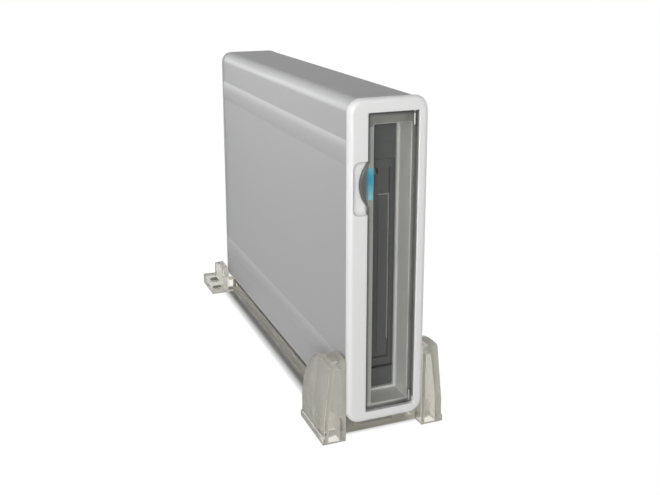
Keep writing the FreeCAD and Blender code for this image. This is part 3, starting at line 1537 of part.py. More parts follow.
def power_switch():
    """Switch housing on the bridge board and the rocker that tilts in it."""
    low = above(TOGGLE_LEVEL)
    shell = box((BRIDGE_FACE, PORT_FACE - size.toggle_depth, low),
                (size.toggle_height, size.toggle_depth, size.toggle_width))
    wall = size.toggle_wall
    well = box((BRIDGE_FACE + wall, PORT_FACE - size.toggle_well, low + wall),
               (size.toggle_height - 2 * wall, size.toggle_well, size.toggle_width - 2 * wall))
    axle_bore = rod("x", (BRIDGE_FACE + wall - size.axle_hold, ROCKER_Y, TOGGLE_Z),
                    size.rocker_axle + size.running_gap, size.toggle_height - 2 * wall + 2 * size.axle_hold)
    subpart(cut(shell, well, axle_bore), "power_switch")
    rocker = Body()
    half_wide = size.toggle_height / 2 - wall - size.rocker_gap
    half_tall = size.toggle_width / 2 - wall - 2 * size.rocker_gap
    face = size.rocker_pivot + size.rocker_proud
    rocker.pad("x", -half_wide, 2 * half_wide, Outline([
        (-size.rocker_back, -half_tall / 2), (face, -half_tall),
        (face - size.rocker_dip, ZERO), (face, half_tall), (-size.rocker_back, half_tall / 2)]))
    reach = half_wide + size.rocker_gap + size.axle_hold - size.running_gap
    rocker.pad("x", -reach, 2 * reach, Round((ZERO, ZERO), size.rocker_axle))
    rocker.body.Placement = FreeCAD.Placement(
        FreeCAD.Vector(), FreeCAD.Rotation(FreeCAD.Vector(1, 0, 0), size.rocker_tilt.value))
    bind(rocker.body, {"Placement.Rotation.Angle": size.rocker_tilt})
    put(rocker.body, (TOGGLE_X, ROCKER_Y, TOGGLE_Z))
    subpart(rocker.body, "power_rocker")


# Clear stand
def mirrored(points):
    """The same corners on the right and on the left of the case."""
    return [[(side * place, level) for place, level in points] for side in (1, -1)]


def stand():
    """Moulded stand with two front legs, two rear feet, cross bars and side rails."""
    floor = size.foot_clear
    inner = size.case_width / 2 + size.stand_side_gap
    half = size.stand_half
    front = behind(size.leg_set_back)
    top = above(size.leg_rise)
    knee = size.leg_knee
    flange = floor + size.leg_flange
    back = behind(size.case_depth + size.stand_tail)
    body = Body()
    legs = mirrored([(inner, floor), (half, floor), (half, flange), (size.leg_knee_half, flange),
                     (size.leg_knee_half, knee), (inner + size.leg_top, top), (inner, top)])
    body.pad("y", front, size.leg_depth, *[Outline(leg) for leg in legs])
    rear_edge = front + size.leg_depth
    for radius, place in ((size.leg_round, rear_edge), (size.leg_front_round, front)):
        body.round(radius, lambda edge: (
            along(edge, "x") and lies(edge, "y", place) and lies(edge, "z", top)))
    wall = size.leg_wall
    hollow = mirrored([
        (inner + wall, floor), (size.leg_knee_half - wall, floor), (size.leg_knee_half - wall, knee),
        (inner + size.leg_top - wall, top - 2 * wall), (inner + wall, top - 2 * wall)])
    body.pocket("y", front + wall, size.leg_hollow_depth, *[Outline(cavity) for cavity in hollow])
    body.pad("z", floor, size.pad_radius * 3, *[Round(centre, size.pad_radius + wall / 2)
                                               for centre in pad_places()[:2]])
    rear_front = behind(size.case_depth - size.rear_foot_overlap)
    feet = mirrored([(inner, floor), (half, floor), (half, floor + size.rear_foot_height),
                     (inner, floor + size.rear_foot_height)])
    body.pad("y", rear_front, back - rear_front, *[Outline(foot) for foot in feet])
    post_top = above(size.rear_post_rise)
    posts = mirrored([(inner, floor), (inner + size.rear_post_width, floor),
                      (inner + size.rear_post_width, post_top), (inner, post_top)])
    body.pad("y", rear_front, size.rear_post_depth, *[Outline(post) for post in posts])
    body.round(size.rear_post_round, lambda edge: along(edge, "x") and lies(edge, "z", post_top))
    middle = inner + wall / 2
    seat = SLEEVE_LOW - floor
    bar_front = behind(size.cross_bar_place)
    stop_front = behind(size.case_depth + size.seat_gap)
    body.pad("z", floor, seat,
             frame(-middle, bar_front, middle, bar_front + size.cross_bar_depth),
             frame(-middle, rear_front, middle, stop_front - size.seat_gap))
    lip_top = above(-size.cross_lip_gap)
    body.pad("z", floor, lip_top - floor, frame(
        -middle, behind(size.cross_lip_place), middle, bar_front + size.cross_bar_depth))
    rail_outer = size.rail_inner + size.rail_width
    rail_front = bar_front + size.cross_bar_depth / 2
    rail_back = stop_front - size.seat_gap - size.stop_thick / 2
    body.pad("z", floor, seat, *[
        frame(left, rail_front, right, rail_back)
        for left, right in ((-rail_outer, -size.rail_inner), (size.rail_inner, rail_outer))])
    body.pad("z", floor, seat, frame(
        -size.stop_half, rear_front, size.stop_half, stop_front + size.stop_thick))
    body.pad("z", floor, seat + size.stop_rise, frame(
        -size.stop_half, stop_front, size.stop_half, stop_front + size.stop_thick))
    body.pocket("z", floor, size.pad_thick - floor, *[
        Round(centre, size.pad_radius + size.running_gap) for centre in pad_places()])
    return subpart(body.body, "stand")


def pad_places():
    """X and Y of the foot pads, front pair first."""
    front = behind(size.leg_set_back + size.pad_front_place)
    rear = behind(size.case_depth + size.stand_tail - size.pad_rear_place)
    return [(side * size.pad_across, place) for place in (front, rear) for side in (-1, 1)]


def stand_pads():
    """Soft pads under the stand's feet."""
    pads = [rod("z", (*centre, ZERO), size.pad_radius, size.pad_thick) for centre in pad_places()]
    return subpart(group(*pads), "stand_pads")


def build():
    """Make every piece, in the order in which the drive goes together."""
    stand()
    stand_pads()
    outer_sleeve()
    front_bezel()
    front_door()
    door_hinge_pins()
    status_light()
    inner_fascia()
    drive_bezel()
    slot_flap()
    eject_button()
    front_board()
    drive_base()
    drive_cover()
    drive_board()
    spindle()
    head_carriage()
    fixed_optics()
    cartridge_holder()
    loading_slider()
    eject_drive()
    bias_coil()
    drive_connector()
    chassis_tray()
    drive_mounts()
    bridge_board()
    usb_port()
    power_jack()
    power_switch()
    rear_panel()
    rear_screws()


def write():
    """Check the document and write one file for each piece."""
    document.recompute()
    for item in document.Objects:
        if "Invalid" in item.State or "Error" in item.State:
            raise RuntimeError(f"{item.Label} failed: {item.State}")
    os.makedirs("parts", exist_ok=True)
    for item in SUBPARTS:
        shape = item.Shape
        if shape.isNull() or not shape.isValid() or not shape.Solids:
            raise RuntimeError(f"{item.Label} has no valid solid")
    for item in SUBPARTS:
        item.Shape.exportStep(f"parts/{item.Label}.step")


build()
write()
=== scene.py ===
"""Scene of an upright external magneto-optical drive in its clear stand.

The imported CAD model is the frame. The outer pieces are rebuilt here with smooth
surfaces and rounded edges, and the inner pieces keep their CAD shape and get
their finish. Shapes are worked out in millimetres in the row frame (X across,
Y from the door to the back, Z up) and stored in metres. A depth is counted from
the case's front face, and a height from its underside unless said otherwise.
A field soft is the width of the rounding on a piece's edges, and a field sharp is
the least angle in degrees of an edge that counts as sharp.
"""
from __future__ import annotations

import json
import logging
import math
from dataclasses import dataclass
from enum import Enum
from typing import Iterable, Sequence

import bmesh
import bpy
import numpy as np
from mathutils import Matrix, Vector

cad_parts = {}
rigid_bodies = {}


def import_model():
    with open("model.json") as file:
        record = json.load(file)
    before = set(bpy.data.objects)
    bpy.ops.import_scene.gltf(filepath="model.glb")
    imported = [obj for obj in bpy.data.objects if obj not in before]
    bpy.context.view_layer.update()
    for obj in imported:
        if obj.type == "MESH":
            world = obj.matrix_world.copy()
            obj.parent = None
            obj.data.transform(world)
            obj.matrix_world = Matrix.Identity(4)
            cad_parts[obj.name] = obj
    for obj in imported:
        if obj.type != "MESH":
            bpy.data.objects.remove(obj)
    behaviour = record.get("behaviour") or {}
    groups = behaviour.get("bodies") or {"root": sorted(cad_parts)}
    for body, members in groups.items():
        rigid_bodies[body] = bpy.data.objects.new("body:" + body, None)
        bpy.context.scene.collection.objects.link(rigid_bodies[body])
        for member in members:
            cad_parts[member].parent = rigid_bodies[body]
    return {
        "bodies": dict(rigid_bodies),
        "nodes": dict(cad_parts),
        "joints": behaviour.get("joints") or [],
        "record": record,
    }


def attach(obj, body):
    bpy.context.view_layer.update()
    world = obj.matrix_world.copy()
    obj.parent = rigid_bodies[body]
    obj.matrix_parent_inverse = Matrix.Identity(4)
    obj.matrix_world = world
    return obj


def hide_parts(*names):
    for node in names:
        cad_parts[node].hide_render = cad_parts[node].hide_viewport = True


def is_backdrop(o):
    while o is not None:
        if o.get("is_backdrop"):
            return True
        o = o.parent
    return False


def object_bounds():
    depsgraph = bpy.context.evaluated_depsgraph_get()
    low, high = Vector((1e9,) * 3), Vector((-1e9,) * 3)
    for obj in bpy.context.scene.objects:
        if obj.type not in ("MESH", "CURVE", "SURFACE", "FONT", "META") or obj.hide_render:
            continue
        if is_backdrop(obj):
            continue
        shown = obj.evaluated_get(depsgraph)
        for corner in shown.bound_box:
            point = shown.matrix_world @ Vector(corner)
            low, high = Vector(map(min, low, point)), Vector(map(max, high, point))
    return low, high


LOG = logging.getLogger("drive_scene")
MM = 0.001
TINY = 1e-6
WELD = 1e-7
SHORTEST = 1e-9
QUARTER = math.pi / 2
FRONT = -112.5
LIFT = 8.8
Colour = tuple[float, float, float]
Point = tuple[float, float, float]
Span = tuple[float, float]
Rect = tuple[float, float, float, float]
WHITE: Colour = (1.0, 1.0, 1.0)


class Slot(str, Enum):
    """Material slots of the record that this scene paints."""

    SLEEVE = "sleeve_grey"
    BEZEL = "bezel_white"
    DOOR = "door_smoke"
    STAND = "stand_clear"
    GUIDE = "guide_blue"
    DRIVE = "drive_dark"
    BUTTON = "button_dark"
    REAR = "rear_grey"
    STEEL = "steel"
    SHEET = "sheet_steel"
    CAST = "cast_metal"
    BOARD = "circuit_green"
    CHIP = "chip_black"
    ROCKER = "rocker_black"
    COPPER = "coil_copper"
    MAGNET = "magnet_nickel"
    GEAR = "gear_white"
    RUBBER = "rubber_black"
    PAD = "pad_soft"
    RIBBON = "ribbon_grey"
    LENS = "lens_glass"
    LAMP = "lamp_clear"
    LASER = "laser_brass"


class Wire:
    """A node output that takes part in arithmetic."""

    def __init__(self, shader: Shader, socket: bpy.types.NodeSocket) -> None:
        """Wrap a socket of a shader's tree."""
        self.shader = shader
        self.socket = socket

    def _math(self, operation: str, first: object, second: object = None) -> Wire:
        """Add a Math node.

        Args:
            operation: Blender's name of the operation.
            first: value or wire of the first input.
            second: value or wire of the second input, where there is one.

        Returns:
            The node's output.
        """
        inputs = [first] if second is None else [first, second]
        node = self.shader.add("ShaderNodeMath", dict(enumerate(inputs)), operation=operation)
        return Wire(self.shader, node.outputs[0])

    def __add__(self, other: object) -> Wire:
        """This value plus another one."""
        return self._math("ADD", self, other)

    def __radd__(self, other: object) -> Wire:
        """Another value plus this one."""
        return self._math("ADD", other, self)

    def __sub__(self, other: object) -> Wire:
        """This value less another one."""
        return self._math("SUBTRACT", self, other)

    def __rsub__(self, other: object) -> Wire:
        """Another value less this one."""
        return self._math("SUBTRACT", other, self)

    def __mul__(self, other: object) -> Wire:
        """This value times another one."""
        return self._math("MULTIPLY", self, other)

    def __rmul__(self, other: object) -> Wire:
        """Another value times this one."""
        return self._math("MULTIPLY", other, self)

    def __truediv__(self, other: object) -> Wire:
        """This value over another one."""
        return self._math("DIVIDE", self, other)

    def __pow__(self, other: object) -> Wire:
        """This value raised to another one."""
        return self._math("POWER", self, other)

    def above(self, limit: object) -> Wire:
        """One where the value is over the limit, zero elsewhere."""
        return self._math("GREATER_THAN", self, limit)

    def below(self, limit: object) -> Wire:
        """One where the value is under the limit, zero elsewhere."""
        return self._math("LESS_THAN", self, limit)

    def within(self, low: object, high: object) -> Wire:
        """One between two limits, zero elsewhere."""
        return self.above(low) * self.below(high)

    def size(self) -> Wire:
        """The value without its sign."""
        return self._math("ABSOLUTE", self)

    def root(self) -> Wire:
        """Square root of the value."""
        return self._math("SQRT", self)

    def least(self, other: object) -> Wire:
        """The smaller of the value and another one."""
        return self._math("MINIMUM", self, other)

    def most(self, other: object) -> Wire:
        """The larger of the value and another one."""
        return self._math("MAXIMUM", self, other)

    def share(self) -> Wire:
        """The value kept between zero and one."""
        return self.most(0.0).least(1.0)


class Shader:
    """The node tree of a material or of the surround, built a node at a time."""

    def __init__(self, owner: bpy.types.Material | bpy.types.World) -> None:
        """Take the tree of an owner and empty it."""
        owner.use_nodes = True
        self.owner = owner
        self.tree = owner.node_tree
        self.tree.nodes.clear()

    def add(self, kind: str, inputs: dict | None = None, **settings: object) -> bpy.types.Node:
        """Add any node.

        Args:
            kind: Blender's name of the node type.
            inputs: values or wires by the input's name or number.
            settings: properties of the node, which are set first.

        Returns:
            The new node.
        """
        node = self.tree.nodes.new(kind)
        for name, value in settings.items():
            setattr(node, name, value)
        for name, value in (inputs or {}).items():
            socket = node.inputs[name]
            if isinstance(value, Wire):
                self.tree.links.new(value.socket, socket)
            else:
                socket.default_value = value
        return node

    def wire(self, node: bpy.types.Node, output: str | int = 0) -> Wire:
        """An output of a node as a wire."""
        return Wire(self, node.outputs[output])

    def place(self) -> Wire:
        """The point's place on the object, in metres in the row frame."""
        return self.wire(self.add("ShaderNodeTexCoord"), "Object")

    def axes(self) -> tuple[Wire, Wire, Wire]:
        """The three coordinates of the point's place."""
        split = self.add("ShaderNodeSeparateXYZ", {0: self.place()})
        return self.wire(split, 0), self.wire(split, 1), self.wire(split, 2)

    def millimetres(self) -> tuple[Wire, Wire, Wire]:
        """The point's place as X, depth and height, in millimetres."""
        across, along, up = self.axes()
        return across / MM, along / MM - FRONT, up / MM - LIFT

    def noise(self, scale: float, detail: float = 2.0, stretch: Point = (1, 1, 1)) -> Wire:
        """Add a noise pattern.

        Args:
            scale: its scale per metre.
            detail: how many finer layers it has.
            stretch: factor of the scale along each axis.

        Returns:
            A value from zero to one.
        """
        mapped = self.add("ShaderNodeMapping", {"Vector": self.place(), "Scale": stretch})
        node = self.add("ShaderNodeTexNoise", {
            "Vector": self.wire(mapped), "Scale": scale, "Detail": detail})
        return self.wire(node, 0)

    def blend(self, share: object, low: Wire | Colour, high: Wire | Colour) -> Wire:
        """Mix two colours.

        Args:
            share: share of the second colour, from zero to one.
            low: the first colour.
            high: the second colour.

        Returns:
            The mixed colour.
        """
        ends = [part if isinstance(part, Wire) else (*part, 1.0) for part in (low, high)]
        node = self.add("ShaderNodeMix", {0: share, 6: ends[0], 7: ends[1]}, data_type="RGBA")
        return self.wire(node, 2)

    def mix(self, share: object, first: bpy.types.Node, second: bpy.types.Node) -> bpy.types.Node:
        """Mix two surfaces by the share of the second, from zero to one."""
        ends = {1: self.wire(first), 2: self.wire(second)}
        return self.add("ShaderNodeMixShader", {0: share, **ends})

    def bump(self, height: Wire, depth_mm: float) -> Wire:
        """A normal roughened by a height from zero to one over a depth."""
        relief = {"Strength": 1.0, "Distance": depth_mm * MM, "Height": height}
        return self.wire(self.add("ShaderNodeBump", relief))

    def close(self, node: bpy.types.Node, kind: str = "ShaderNodeOutputMaterial",
              ) -> bpy.types.Material | bpy.types.World:
        """Take a shader node as the surface.

        Args:
            node: the shader node.
            kind: Blender's name of the output node.

        Returns:
            The owner of the tree.
        """
        output = self.add(kind)
        self.tree.links.new(node.outputs[0], output.inputs["Surface"])
        return self.owner


@dataclass(frozen=True)
class SleevePlan:
    """Section of the sleeve as X and height, in millimetres."""

    half: float = 18.0
    low: float = 0.4
    high: float = 149.6
    corner: float = 6.1
    wall: float = 1.5
    bead_levels: Span = (24.0, 126.0)
    bead_half: float = 5.5
    bead_rise: float = 0.6
    bead_power: float = 2.5


@dataclass(frozen=True)
class DoorPlan:
    """Edges of the door and of its thumb tab as X and height, in millimetres."""

    left: float = -9.5
    right: float = 13.7
    low: float = 5.5
    high: float = 143.1
    tab_level: float = 111.8
    tab_half: float = 10.0
    tab_reach: float = 3.8

    @property
    def tab_radius(self) -> float:
        """Radius of the tab's arc: (half^2 + reach^2) / (2 reach)."""
        return (self.tab_half ** 2 + self.tab_reach ** 2) / (2 * self.tab_reach)


@dataclass(frozen=True)
class Finish:
    """An opaque finish with fine grain and broad clouds in colour, gloss and relief."""

    colour: Colour
    roughness: float
    metallic: float = 0.0
    speckle: float = 0.04
    grain_scale: float = 1800.0
    relief_mm: float = 0.004
    coat: float = 0.0
    stretch: Point = (1, 1, 1)
    glow: float = 0.0
    sheen: float = 0.5
    cloud_scale: float = 24.0
    grain_share: float = 0.65
    grain_gloss: float = 0.12
    cloud_gloss: float = 0.06

    def shade(self, shader: Shader, colour: Wire) -> Wire:
        """The colour as it varies over the piece; a plain finish keeps it."""
        return colour

    def material(self, name: str) -> bpy.types.Material:
        """Build the finish.

        Args:
            name: name of the material.

        Returns:
            The material.
        """
        shader = Shader(bpy.data.materials.new(name))
        grain = shader.noise(self.grain_scale, stretch=self.stretch)
        cloud = shader.noise(self.cloud_scale)
        low = tuple(part * (1.0 - self.speckle) for part in self.colour)
        high = tuple(min(1.0, part * (1.0 + self.speckle)) for part in self.colour)
        mottle = self.grain_share * grain + (1.0 - self.grain_share) * cloud
        colour = self.shade(shader, shader.blend(mottle, low, high))
        gloss = self.grain_gloss * (grain - 0.5) + self.cloud_gloss * (cloud - 0.5)
        surface = shader.add("ShaderNodeBsdfPrincipled", {
            "Base Color": colour,
            "Roughness": self.roughness + gloss,
            "Metallic": self.metallic,
            "Specular IOR Level": self.sheen,
            "Coat Weight": self.coat,
            "Emission Color": colour,
            "Emission Strength": self.glow,
            "Normal": shader.bump(grain, self.relief_mm),
        })
        return shader.close(surface)


@dataclass(frozen=True)
class SleevePaint(Finish):
    """Grey anodised extrusion, with painted highlights on its long corners and beads and painted shade
    in patches on top.
    """

    plan: SleevePlan = SleevePlan()
    # painted highlight: colour laid on the rounded corners and the beads' upper flanks
    highlight_colour: Colour = (0.66, 0.66, 0.665)
    corner_highlight: float = 0.9
    bead_highlight: float = 0.4
    flank_start: float = 1.0
    # painted shade: colour laid in patches on the top face
    painted_shade: Colour = (0.32, 0.32, 0.325)
    shade_patch_scale: float = 240.0
    shade_patch_detail: float = 3.0
    shade_least: float = 0.3
    shade_spread: float = 0.5

    def shade(self, shader: Shader, colour: Wire) -> Wire:
        """Paint highlights on the corners and beads and paint shade on the top.

        The painted highlight's share is twice the product of how far a point lies round the
        corner each way, held within one. On a bead it grows up the upper flank to
        the bead's edge. The painted shade on the top comes in patches and fades out at the upper
        corners.

        Args:
            shader: tree of the finish.
            colour: colour of the plain metal.

        Returns:
            The colour as it varies over the sleeve.
        """
        plan = self.plan
        top, bottom = plan.high - plan.corner, plan.low + plan.corner
        across, _, height = shader.millimetres()
        out = ((across.size() - (plan.half - plan.corner)) / plan.corner).share()
        over = ((height - top).most(bottom - height) / plan.corner).share()
        # painted highlight on the rounded long corners, then on each bead's upper flank
        painted_highlight = (2.0 * out * over).share() * self.corner_highlight
        for middle in plan.bead_levels:
            up = height - middle
            flank = ((up - self.flank_start) / (plan.bead_half - self.flank_start)).share()
            painted_highlight = painted_highlight.most(flank * up.below(plan.bead_half) * out * self.bead_highlight)
        # painted shade on the top face, in patches, fading out at the upper corners
        patches = shader.noise(self.shade_patch_scale, detail=self.shade_patch_detail)
        upper = ((height - top) / plan.corner).share() * (1.0 - out)
        shaded = upper * (self.shade_least + self.shade_spread * patches)
        return shader.blend(shaded, shader.blend(painted_highlight, colour, self.highlight_colour), self.painted_shade)


@dataclass(frozen=True)
class FramePaint(Finish):
    """White moulding, with painted shade in the door's rebate and painted light in the scoop."""

    # painted shade: colour laid in the rebate behind the door
    painted_shade: Colour = (0.26, 0.26, 0.25)
    painted_shade_share: float = 0.85
    rebate_across: Span = (-10.3, 14.5)
    rebate_depth: Span = (0.7, 3.43)
    rebate_height: Span = (8.0, 144.0)
    left_edge: float = -5.0
    left_top: float = 137.0
    left_share: float = 0.5
    # painted light: colour laid in the finger scoop's dish against its own shade
    scoop_painted_light: Colour = (0.93, 0.93, 0.925)
    scoop_across: Span = (-17.2, -10.3)
    scoop_height: Span = (98.0, 123.5)
    scoop_depth: float = 0.5

    def shade(self, shader: Shader, colour: Wire) -> Wire:
        """Paint shade into the rebate above and beside the tunnel's mouth, least on the left, and paint
        the scoop lighter.

        Args:
            shader: tree of the finish.
            colour: colour of the plain moulding.

        Returns:
            The colour as it varies over the frame.
        """
        across, depth, height = shader.millimetres()
        rebate = depth.within(*self.rebate_depth) * across.within(*self.rebate_across)
        rebate = rebate * height.within(*self.rebate_height)
        left = across.below(self.left_edge) * height.below(self.left_top)
        scoop = across.within(*self.scoop_across) * height.within(*self.scoop_height)
        # painted light in the scoop's dish
        colour = shader.blend(scoop * depth.above(self.scoop_depth), colour, self.scoop_painted_light)
        # painted shade in the rebate, less on the left strip
        shaded = rebate * (self.painted_shade_share - self.left_share * left)
        return shader.blend(shaded, colour, self.painted_shade)


@dataclass(frozen=True)
class FacePaint(Finish):
    """Charcoal moulding, with a painted highlight along the edges of the flap's raised panel."""

    # painted highlight: colour laid on the flap panel's edges
    painted_highlight: Colour = (0.5, 0.505, 0.51)
    painted_highlight_share: float = 0.85
    panel_back: float = 19.2
    upright_across: Span = (8.25, 8.8)
    upright_low: float = 31.0
    level_height: Span = (102.1, 102.6)
    level_left: float = 3.3

    def shade(self, shader: Shader, colour: Wire) -> Wire:
        """Paint a highlight on the panel's free upright edge and its upper edge.

        Args:
            shader: tree of the finish.
            colour: colour of the plain moulding.

        Returns:
            The colour as it varies over face and flap.
        """
        start, right = self.upright_across
        bottom, top = self.level_height
        across, depth, height = shader.millimetres()
        panel = depth.below(self.panel_back) * height.below(top) * across.below(right)
        upright = across.above(start) * height.above(self.upright_low)
        level = height.above(bottom) * across.above(self.level_left)
        # painted highlight along the panel's upright and upper edges
        return shader.blend(panel * upright.most(level) * self.painted_highlight_share, colour, self.painted_highlight)


@dataclass(frozen=True)
class GuidePaint(Finish):
    """Blue light guide, deepest over the lamp and paler towards its ends."""

    pale: Colour = (0.3, 0.72, 0.78)
    lamp_level: float = 114.0
    fade: float = 7.0
    core: float = 0.2

    def shade(self, shader: Shader, colour: Wire) -> Wire:
        """Let the share of pale blue grow with the height from the lamp.

        Args:
            shader: tree of the finish.
            colour: colour over the lamp.

        Returns:
            The colour as it varies over the guide.
        """
        _, _, height = shader.millimetres()
        away = (height - self.lamp_level).size() / self.fade - self.core
        return shader.blend(away.share(), colour, self.pale)


@dataclass(frozen=True)
class Clear:
    """A clear plastic, either a thin pane or a body that bends light."""

    tint: Colour
    body: Colour
    body_share: float
    roughness: float
    index: float = 1.46
    bends: bool = True
    facing: float = 0.04
    falloff: float = 5.0
    gloss_scale: float = 60.0
    gloss_stretch: Point = (1.0, 1.0, 0.2)
    gloss_spread: float = 0.05

    def veil(self, shader: Shader) -> Wire | float:
        """Share of light that the body stops, as it varies over the piece."""
        return self.body_share

    def material(self, name: str) -> bpy.types.Material:
        """Build the finish.

        A thin pane mirrors the share f + (1 - f) c^falloff, with f the share
        straight on and c how far the pane is turned away.

        Args:
            name: name of the material.

        Returns:
            The material.
        """
        shader = Shader(bpy.data.materials.new(name))
        tint = (*self.tint, 1.0)
        streak = shader.noise(self.gloss_scale, stretch=self.gloss_stretch)
        body = shader.add("ShaderNodeBsdfPrincipled", {
            "Base Color": (*self.body, 1.0),
            "Roughness": self.roughness + self.gloss_spread * streak,
            "IOR": self.index,
        })
        clear = shader.add("ShaderNodeBsdfTransparent", {"Color": tint})
        if self.bends:
            bent = shader.add("ShaderNodeBsdfRefraction", {
                "Color": tint, "Roughness": self.roughness, "IOR": self.index})
            light = shader.add("ShaderNodeLightPath")
            clear = shader.mix(shader.wire(light, "Is Shadow Ray"), bent, clear)
            share = shader.wire(shader.add("ShaderNodeFresnel", {"IOR": self.index}))
        else:
            away = shader.wire(shader.add("ShaderNodeLayerWeight"), "Facing")
            share = self.facing + (1.0 - self.facing) * away ** self.falloff
        veil = self.veil(shader)
        return shader.close(shader.mix(veil + (1.0 - veil) * share, clear, body))


@dataclass(frozen=True)
class StandClear(Clear):
    """Clear moulding, a little milky in its legs and feet and clearest under the case."""

    leg_start: float = 18.6
    fade: float = 0.6
    between: float = 0.2

    def veil(self, shader: Shader) -> Wire:
        """Let the milky share fade between the legs.

        Args:
            shader: tree of the finish.

        Returns:
            Share of light that the body stops.
        """
        across, _, _ = shader.millimetres()
        outside = ((across.size() - self.leg_start) / self.fade).share()
        return self.body_share * (self.between + (1.0 - self.between) * outside)


@dataclass(frozen=True)
class DoorPane(Clear):
    """Smoky pane with painted shade along its cut edges, darker on its thumb tab, with streaks and a
    painted dark reflection in a few patches.
    """

    plan: DoorPlan = DoorPlan()
    # painted shade along the cut edges: its width and share
    edge: float = 1.1
    edge_shade_share: float = 0.7
    tab_fade: float = 0.4
    tab_share: float = 0.5
    streak_scale: float = 55.0
    streak_stretch: Point = (1.0, 1.0, 0.3)
    streak_least: float = 0.4
    streak_spread: float = 1.2
    # painted dark reflection in patches
    reflection_scale: float = 70.0
    reflection_stretch: Point = (1.0, 1.0, 0.35)
    reflection_start: float = 0.55
    reflection_gain: float = 5.0
    reflection_share: float = 0.18
    most_share: float = 0.95

    def veil(self, shader: Shader) -> Wire:
        """Paint shade along the edges, darken the tab and lay streaks and a painted dark reflection in
        patches on the pane.

        The left edge follows the tab: x = left - (sqrt(r^2 - d^2) - (r - reach)),
        with d the height from the tab's middle, held within its half height.

        Args:
            shader: tree of the finish.

        Returns:
            Share of light that the smoke stops.
        """
        plan, radius = self.plan, self.plan.tab_radius
        across, _, height = shader.millimetres()
        away = (height - plan.tab_level).size().least(plan.tab_half)
        swell = (radius ** 2 - away * away).root() - (radius - plan.tab_reach)
        inward = (across - (plan.left - swell)).least(plan.right - across)
        inward = inward.least(height - plan.low).least(plan.high - height)
        # painted shade along the pane's cut edges
        rim = (1.0 - inward / self.edge).share()
        tab = ((plan.left + self.tab_fade / 2 - across) / self.tab_fade).share()
        streak = shader.noise(self.streak_scale, stretch=self.streak_stretch)
        # painted dark reflection, laid in patches
        patches = shader.noise(self.reflection_scale, stretch=self.reflection_stretch)
        painted_reflection = ((patches - self.reflection_start) * self.reflection_gain).share()
        veil = self.body_share * (self.streak_least + self.streak_spread * streak)
        veil = veil + self.reflection_share * painted_reflection + self.tab_share * tab + self.edge_shade_share * rim
        return veil.least(self.most_share)


FINISHES: dict[Slot, Finish | Clear] = {
    Slot.SLEEVE: SleevePaint((0.45, 0.45, 0.455), 0.45, metallic=0.1, speckle=0.05,
                             grain_scale=2600.0, sheen=0.12),
    Slot.BEZEL: FramePaint((0.83, 0.83, 0.825), 0.34, speckle=0.01, relief_mm=0.002),
    Slot.DOOR: DoorPane((0.96, 0.96, 0.945), (0.13, 0.135, 0.13), 0.05, 0.05, bends=False),
    Slot.STAND: StandClear((0.95, 0.94, 0.905), (0.68, 0.67, 0.63), 0.26, 0.06),
    Slot.GUIDE: GuidePaint((0.008, 0.4, 0.64), 0.25, speckle=0.06, coat=0.3, glow=0.25),
    Slot.DRIVE: FacePaint((0.11, 0.115, 0.12), 0.55, relief_mm=0.02, grain_scale=2200.0),
    Slot.BUTTON: Finish((0.085, 0.09, 0.095), 0.45, relief_mm=0.01),
    Slot.REAR: Finish((0.4, 0.4, 0.41), 0.5, relief_mm=0.012),
    Slot.STEEL: Finish((0.6, 0.6, 0.59), 0.28, metallic=1.0, stretch=(1.0, 1.0, 6.0)),
    Slot.SHEET: Finish((0.56, 0.57, 0.57), 0.36, metallic=1.0, stretch=(1.0, 0.1, 1.0)),
    Slot.CAST: Finish((0.5, 0.5, 0.5), 0.5, metallic=0.9, relief_mm=0.02, grain_scale=1200.0),
    Slot.BOARD: Finish((0.02, 0.16, 0.06), 0.4, speckle=0.2, coat=0.3),
    Slot.CHIP: Finish((0.025, 0.025, 0.026), 0.5),
    Slot.ROCKER: Finish((0.02, 0.02, 0.02), 0.3, coat=0.2),
    Slot.COPPER: Finish((0.62, 0.27, 0.12), 0.35, metallic=0.9, grain_scale=3000.0,
                        stretch=(8.0, 1.0, 1.0)),
    Slot.MAGNET: Finish((0.65, 0.65, 0.62), 0.22, metallic=1.0),
    Slot.GEAR: Finish((0.8, 0.79, 0.74), 0.45),
    Slot.RUBBER: Finish((0.02, 0.02, 0.02), 0.75, relief_mm=0.02),
    Slot.PAD: Finish((0.5, 0.5, 0.47), 0.6),
    Slot.RIBBON: Finish((0.42, 0.42, 0.44), 0.5, stretch=(1.0, 0.02, 1.0)),
    Slot.LENS: Finish((0.3, 0.36, 0.5), 0.08, coat=0.5),
    Slot.LAMP: Finish((0.75, 0.8, 0.75), 0.2, coat=0.4),
    Slot.LASER: Finish((0.6, 0.45, 0.2), 0.3, metallic=1.0),
}


def ring(left: float, bottom: float, right: float, top: float, radius: float,
         corner: int = 10, wide: int = 6, tall: int = 24) -> np.ndarray:
    """A rounded rectangle in the X-Z plane, counter-clockwise from its lower right.

    Args:
        left, bottom, right, top: its sides.
        radius: its corner radius.
        corner, wide, tall: points on each corner, on the level sides and on the upright ones.

    Returns:
        An array of shape (points, 2): each corner is centre + radius (cos a, sin a).
    """
    angles = np.linspace(-QUARTER, 0.0, corner)
    centres = ((right - radius, bottom + radius), (right - radius, top - radius),
               (left + radius, top - radius), (left + radius, bottom + radius))
    arcs = [np.column_stack([x + radius * np.cos(angles + turn), z + radius * np.sin(angles + turn)])
            for (x, z), turn in zip(centres, np.arange(4) * QUARTER)]
    loop = []
    for number, arc in enumerate(arcs):
        following = arcs[(number + 1) % 4][0]
        count = tall if number % 2 == 0 else wide
        share = np.linspace(0.0, 1.0, count + 2)[1:-1, None]
        loop += [arc, arc[-1] + share * (following - arc[-1])]
    return np.vstack(loop)


def at_depth(loop: np.ndarray, depth: float) -> np.ndarray:
    """The X-Z loop as points of space at one Y."""
    return np.column_stack([loop[:, 0], np.full(len(loop), depth), loop[:, 1]])


